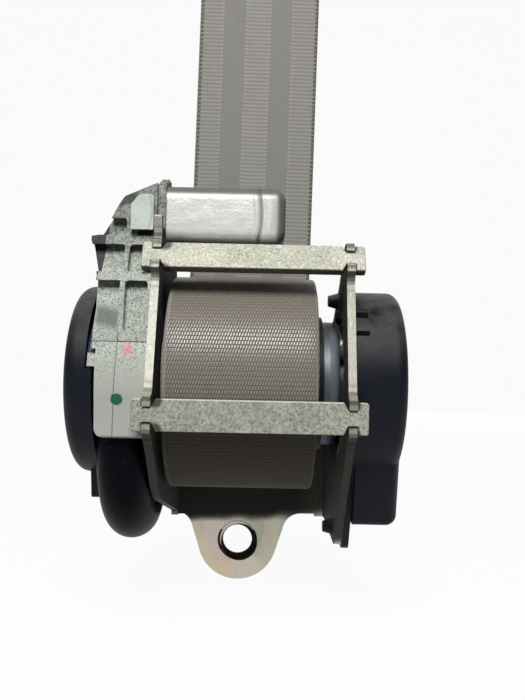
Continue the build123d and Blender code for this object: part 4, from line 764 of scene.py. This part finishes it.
def strip_frame(settings):
    """Origin, across and outward directions of the free webbing, from its run and the roll behind it."""
    facing = Vector((0.0, -1.0, STRIP_RUN.y / STRIP_RUN.z)).normalized()
    across = STRIP_RUN.cross(facing)
    across = across if across.x > 0 else -across
    clearance = 0.3 * MM
    roll_back = AXIS.y + (ROLL_HIGH.z - AXIS.z)
    origin = Vector(((ROLL_LOW.x + ROLL_HIGH.x) / 2, roll_back + clearance + settings.thickness, AXIS.z))
    return origin, across, facing


class RETRACTOR_OT_free_webbing(bpy.types.Operator):
    """Free webbing with its woven stripes and its folded, sewn end"""
    bl_idname = "retractor.free_webbing"
    bl_label = "Free Webbing"

    def execute(self, context):
        settings = context.scene.retractor_webbing
        origin, across, facing = strip_frame(settings)
        thickness = settings.thickness
        top = (STRIP_HIGH.z - origin.z) / STRIP_RUN.z - 0.6 * MM
        bottom = (STRIP_LOW.z - origin.z) / STRIP_RUN.z + 0.4 * MM
        half = settings.width / 2 - 0.1 * MM
        run = top - bottom
        bend_run = 6.0 * MM
        ripple = 0.08 * MM
        straight_steps, bend_steps, hem_steps = 70, 10, 8
        places = []
        for step in range(straight_steps + 1):
            done = run * step / straight_steps
            lift = thickness * 0.5 + ripple * math.sin((bottom + done) * 90.0)
            places.append((origin + STRIP_RUN * (bottom + done) + facing * lift, across, facing, done))
        for step in range(1, bend_steps + 1):
            turn = math.pi * step / bend_steps
            centre = origin + STRIP_RUN * (top + math.sin(turn) * thickness * 0.3)
            centre += facing * (thickness * (1.0 - 0.5 * math.cos(turn)))
            outward = facing * math.cos(turn) + STRIP_RUN * math.sin(turn)
            places.append((centre, across, outward, run + bend_run * step / bend_steps))
        for step in range(1, hem_steps + 1):
            done = settings.hem * step / hem_steps
            centre = origin + STRIP_RUN * (top - done) + facing * (thickness * 1.5)
            places.append((centre, across, -facing, run + bend_run + done))
        strip = band_mesh("free_webbing", places, half, thickness * 0.46)
        shade(["free_webbing"], woven_finish(settings))
        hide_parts("webbing_strip")
        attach(strip, "webbing")
        self.sew(settings, origin, across, facing, top, half)
        return {"FINISHED"}

    def sew(self, settings, origin, across, facing, top, half):
        """Sewing thread over the fold, one stitch copied along two rows and two sides."""
        bpy.ops.object.select_all(action="DESELECT")
        bpy.ops.mesh.primitive_uv_sphere_add(segments=8, ring_count=6, radius=1.0, location=(0, 0, 0))
        stitch = bpy.context.active_object
        seam = origin + STRIP_RUN * top + facing * (settings.thickness * 2.0 - 0.05 * MM)
        margin = 3.0 * MM
        spots = []
        for down in (3.0 * MM, 10.0 * MM):
            for index in range(21):
                aside = margin - half + index * 2.04 * MM
                spots.append((seam + across * aside - STRIP_RUN * down, across))
        for side in (-1, 1):
            for index in range(3):
                down = (4.8 + index * 1.75) * MM
                spots.append((seam + across * (side * (half - margin)) - STRIP_RUN * down, STRIP_RUN))
        build = bmesh.new()
        for place, direction in spots:
            other = facing.cross(direction).normalized()
            half_sizes = (direction * 0.82 * MM, other * 0.24 * MM, facing * 0.14 * MM)
            turn = Matrix(half_sizes).transposed().to_4x4()
            turn.translation = place
            copy = stitch.data.copy()
            copy.transform(turn)
            build.from_mesh(copy)
            bpy.data.meshes.remove(copy)
        build.to_mesh(stitch.data)
        build.free()
        stitch.name = "sewing_thread"
        bpy.ops.object.shade_smooth()
        finish = Finish("sewing_thread", 0.6)
        x, _, z = finish.parts(finish.place())
        twist = (x * 14.0 + z * 14.0).sine() * 0.5 + 0.5
        finish.paint(finish.mix(twist * 0.5, settings.thread_colour, settings.free_colour))
        finish.relief(twist, 0.00008)
        shade(["sewing_thread"], finish)
        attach(stitch, "webbing")


class RETRACTOR_OT_wound_webbing(bpy.types.Operator):
    """Webbing wound in a spiral on the spool"""
    bl_idname = "retractor.wound_webbing"
    bl_label = "Wound Webbing"

    def execute(self, context):
        settings = context.scene.retractor_webbing
        outer = ROLL_HIGH.z - AXIS.z - settings.thickness / 2 + settings.slack
        inner = settings.inner_radius + settings.thickness / 2
        per_turn = 88
        count = int((outer - inner) / settings.thickness * per_turn)
        middle_x = (ROLL_LOW.x + ROLL_HIGH.x) / 2
        # The layers wander sideways a little, so the band is narrower than the roll by their wander
        half = settings.width / 2 - 0.28 * MM
        places = []
        distance = 0.0
        before = None
        for step in range(count + 1):
            turn = -2 * math.pi * (count - step) / per_turn
            radius = outer + settings.thickness * turn / (2 * math.pi)
            outward = Vector((0.0, math.cos(turn), math.sin(turn)))
            wander = (0.14 * math.sin(turn * 0.37) + 0.1 * math.sin(turn * 1.13 + 1.0)) * MM
            centre = Vector((middle_x + wander, AXIS.y, AXIS.z)) + outward * radius
            distance += (centre - before).length if before else 0.0
            before = centre
            places.append((centre, Vector((1.0, 0.0, 0.0)), outward, distance))
        roll = band_mesh("wound_webbing", places, half, settings.thickness * 0.47)
        shade(["wound_webbing"], wound_finish(settings))
        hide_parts("webbing_roll")
        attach(roll, "spool")
        return {"FINISHED"}


class RETRACTOR_OT_frame_steel(bpy.types.Operator):
    """Plating of the frame and the two tie bars"""
    bl_idname = "retractor.frame_steel"
    bl_label = "Frame and Tie Bars"

    def execute(self, context):
        settings = context.scene.retractor_steel
        names = [skin.name for skin in skins(["frame", "lower_tie_bar", "upper_tie_bar"])]
        shade(names[:1], passivated_finish("passivated_frame", settings))
        shade(names[1:2], plated_finish("lower_bar_plating", settings.lower_bar, settings, "lower_tie_bar",
                                        0.6, 0.0))
        shade(names[2:], plated_finish("upper_bar_plating", settings.upper_bar, settings, "upper_tie_bar",
                                       0.5, UPPER_BAR_LEAN))
        return {"FINISHED"}


class RETRACTOR_OT_castings(bpy.types.Operator):
    """Die-cast pretensioner housing, spool core and tread head"""
    bl_idname = "retractor.castings"
    bl_label = "Castings"

    def execute(self, context):
        settings = context.scene.retractor_casting
        names = [skin.name for skin in skins(["pretensioner_housing", "spool_core", "locking_base"])]
        shade(names[:1], cast_finish(settings))
        shade(names[1:2], machined_finish("spool_core_cast", settings.core, 0.4, 0.45))
        shade(names[2:], machined_finish("tread_head_cast", settings.tread_head, 0.45, 0.4))
        return {"FINISHED"}


class RETRACTOR_OT_bright_steel(bpy.types.Operator):
    """Drawn catch cup and the bright channel plate"""
    bl_idname = "retractor.bright_steel"
    bl_label = "Catch Cup and Channel Plate"

    def execute(self, context):
        settings = context.scene.retractor_steel
        names = [skin.name for skin in skins(["catch_cup", "channel_plate"])]
        shade(names[:1], drawn_steel_finish("drawn_cup_steel", settings.cup, settings,
                                            "catch_cup", 0.79, 1.0))
        shade(names[1:], drawn_steel_finish("channel_plate_steel", settings.plate, settings,
                                            "channel_plate", 0.78, 0.0, 0.08))
        return {"FINISHED"}


class RETRACTOR_OT_covers(bpy.types.Operator):
    """Black covers, mechanism plate, flange, pins, thrust ring, seal and pale inner plastics"""
    bl_idname = "retractor.covers"
    bl_label = "Covers and Plastics"

    def execute(self, context):
        settings = context.scene.retractor_plastic
        black = ["mechanism_cover", "mechanism_plate", "spring_cover", "spring_plate", "push_pins",
                 "sensor_housing"]
        shade([skin.name for skin in skins(black)],
              moulded_finish("black_cover_plastic", settings.cover, settings.dust))
        shade([skin.name for skin in skins(["spool_flange"])],
              moulded_finish("flange_plastic", settings.flange, settings.dust, 0.2))
        shade([skin.name for skin in skins(["thrust_ring"])],
              moulded_finish("thrust_ring_plastic", settings.ring, settings.dust, 0.1, 0.34))
        pale = ["lock_gear", "sensor_lever", "end_bush", "left_bush", "spring_arbor"]
        shade([skin.name for skin in skins(pale)],
              moulded_finish("pale_bearing_plastic", settings.pale, settings.dust, 0.05, 0.4))
        shade([skin.name for skin in skins(["seal_piston"])],
              moulded_finish("seal_rubber", settings.seal, settings.dust, 0.1, 0.6))
        return {"FINISHED"}


class RETRACTOR_OT_tube(bpy.types.Operator):
    """Black painted ball tube"""
    bl_idname = "retractor.tube"
    bl_label = "Ball Tube"

    def execute(self, context):
        settings = context.scene.retractor_plastic
        finish = Finish("tube_paint", 0.38, 0.0, specular=0.05)
        spot = finish.place()
        peel = finish.noise(spot, 0.55, 2.0, 0.5)
        rub = finish.noise(finish.stretch(spot, (1.0, 2.0, 0.6)), 0.8, 4.0, 0.7)
        tone = finish.mix((rub > 0.66) * 0.25, settings.tube, settings.dust)
        finish.paint(tone)
        finish.rough(0.34 + 0.14 * rub)
        finish.relief(peel, 0.0001)
        shade([skin.name for skin in skins(["ball_tube"])], finish)
        return {"FINISHED"}


class RETRACTOR_OT_inner_metal(bpy.types.Operator):
    """Bare steel pieces: torsion bar, pawl, wheel, balls, screws, generator and the return spring"""
    bl_idname = "retractor.inner_metal"
    bl_label = "Inner Metal"

    def execute(self, context):
        settings = context.scene.retractor_steel
        steel = ["webbing_pin", "torsion_bar", "lock_pawl", "flywheel", "sensor_ball", "drive_balls",
                 "drive_wheel", "housing_screws", "gas_generator"]
        shade([skin.name for skin in skins(steel)], machined_finish("bare_steel", settings.bare))
        shade([skin.name for skin in skins(["return_spring"])],
              machined_finish("blued_spring_steel", settings.blued, 0.8, 0.3))
        return {"FINISHED"}


class RETRACTOR_OT_stage(bpy.types.Operator):
    """Pale floor and backdrop, soft lamps and the camera at the photographed angle"""
    bl_idname = "retractor.stage"
    bl_label = "Stage"

    def execute(self, context):
        settings = context.scene.retractor_studio
        scene = context.scene
        scene.view_settings.view_transform = "Standard"
        self.backdrop(CAD_BOX[0].z - 0.4 * MM)
        self.sky(scene, settings.sky)
        self.lamp("key_lamp", KEY_PLACE, 0.36, settings.key, (1.0, 0.99, 0.97))
        self.lamp("back_lamp", BACK_PLACE, 0.5, settings.back, (1.0, 1.0, 1.0))
        camera = bpy.data.objects.new("camera", bpy.data.cameras.new("camera"))
        scene.collection.objects.link(camera)
        camera.data.sensor_fit = "VERTICAL"
        camera.data.sensor_height = 36.0
        camera.data.lens = settings.focal
        camera.data.clip_start = 0.01
        right = Vector((math.cos(CAMERA_ROLL), 0.0, math.sin(CAMERA_ROLL)))
        up = Vector((-math.sin(CAMERA_ROLL), 0.0, math.cos(CAMERA_ROLL)))
        turn = Matrix((right, up, Vector((0.0, -1.0, 0.0)))).transposed().to_4x4()
        turn.translation = CAMERA_PLACE
        camera.matrix_world = turn
        scene.camera = camera
        return {"FINISHED"}

    def backdrop(self, floor_height):
        """Floor that curves up into a wall behind, white to the camera and dim to the light it bounces."""
        bpy.ops.object.select_all(action="DESELECT")
        bpy.ops.mesh.primitive_plane_add(size=1.0, location=(0.0, 0.0, floor_height))
        sweep = bpy.context.active_object
        sweep.name = "floor_and_backdrop"
        sweep.data.transform(Matrix.Diagonal((6.0, 3.2, 1.0, 1.0)))
        bpy.ops.object.mode_set(mode="EDIT")
        bpy.ops.mesh.select_all(action="DESELECT")
        bpy.ops.object.mode_set(mode="OBJECT")
        for edge in sweep.data.edges:
            edge.select = all(sweep.data.vertices[index].co.y > 0 for index in edge.vertices)
        bpy.ops.object.mode_set(mode="EDIT")
        bpy.ops.mesh.extrude_region_move(TRANSFORM_OT_translate={"value": (0.0, 0.0, 3.0)})
        bpy.ops.object.mode_set(mode="OBJECT")
        bend = sweep.modifiers.new("bend", "BEVEL")
        bend.width = 0.6
        bend.segments = 12
        bend.limit_method = "ANGLE"
        bpy.ops.object.modifier_apply(modifier="bend")
        bpy.ops.object.transform_apply(location=True, rotation=True, scale=True)
        bpy.ops.object.shade_smooth()
        finish = Finish("pale_backdrop", 0.9)
        rays = finish.node("LightPath").socket.node.outputs
        seen = Wire(finish, rays["Is Camera Ray"]) + Wire(finish, rays["Is Glossy Ray"])
        seen = seen + Wire(finish, rays["Is Transmission Ray"])
        dim = (0.07, 0.07, 0.07, 1.0)
        pale = (0.86, 0.86, 0.86, 1.0)
        finish.paint(finish.mix(seen, dim, pale))
        white = finish.node("Emission", sockets={"Color": (1.0, 1.0, 1.0, 1.0), "Strength": 1.0})
        lit = Wire(finish, finish.surface.outputs[0])
        blend = finish.node("MixShader", sockets={0: (seen > 0.5) * 0.95, 1: lit, 2: white})
        output = next(node for node in finish.tree.nodes if node.type == "OUTPUT_MATERIAL")
        finish.tree.links.new(blend.socket, output.inputs["Surface"])
        shade([sweep.name], finish)

    def sky(self, scene, strength):
        """Faint even light from all sides."""
        world = bpy.data.worlds.new("studio_surroundings")
        world.use_nodes = True
        background = world.node_tree.nodes["Background"]
        background.inputs["Color"].default_value = (0.92, 0.95, 1.0, 1.0)
        background.inputs["Strength"].default_value = strength
        scene.world = world

    def lamp(self, name, place, size, power, tint):
        """Square soft lamp aimed at the retractor."""
        light = bpy.data.lights.new(name, "AREA")
        light.shape = "SQUARE"
        light.size = size
        light.energy = power
        light.color = tint
        holder = bpy.data.objects.new(name, light)
        holder.location = place
        aim = Vector(LAMP_AIM) - Vector(place)
        holder.rotation_euler = aim.to_track_quat("-Z", "Y").to_euler()
        bpy.context.scene.collection.objects.link(holder)


class RETRACTOR_PT_panel(bpy.types.Panel):
    """Lists the operators that dress the retractor"""
    bl_idname = "RETRACTOR_PT_panel"
    bl_label = "Retractor"
    bl_space_type = "VIEW_3D"
    bl_region_type = "UI"
    bl_category = "Retractor"

    def draw(self, context):
        for operator in STEPS:
            self.layout.operator(operator.bl_idname)
        for name in SETTINGS:
            group = getattr(context.scene, name)
            column = self.layout.column()
            for key in group.__annotations__:
                column.prop(group, key)


STEPS = (
    RETRACTOR_OT_wound_webbing,
    RETRACTOR_OT_free_webbing,
    RETRACTOR_OT_frame_steel,
    RETRACTOR_OT_castings,
    RETRACTOR_OT_bright_steel,
    RETRACTOR_OT_covers,
    RETRACTOR_OT_tube,
    RETRACTOR_OT_inner_metal,
    RETRACTOR_OT_stage,
)
SETTINGS = {
    "retractor_webbing": RetractorWebbing,
    "retractor_steel": RetractorSteel,
    "retractor_casting": RetractorCasting,
    "retractor_plastic": RetractorPlastic,
    "retractor_studio": RetractorStudio,
}


def register():
    for name, group in SETTINGS.items():
        bpy.utils.register_class(group)
        setattr(bpy.types.Scene, name, bpy.props.PointerProperty(type=group))
    for operator in STEPS:
        bpy.utils.register_class(operator)
    bpy.utils.register_class(RETRACTOR_PT_panel)


def unregister():
    bpy.utils.unregister_class(RETRACTOR_PT_panel)
    for operator in reversed(STEPS):
        bpy.utils.unregister_class(operator)
    for name, group in reversed(SETTINGS.items()):
        delattr(bpy.types.Scene, name)
        bpy.utils.unregister_class(group)


def main():
    """Dress the retractor."""
    register()
    for operator in STEPS:
        group, name = operator.bl_idname.split(".")
        getattr(getattr(bpy.ops, group), name)()


if __name__ == "__main__":
    main()
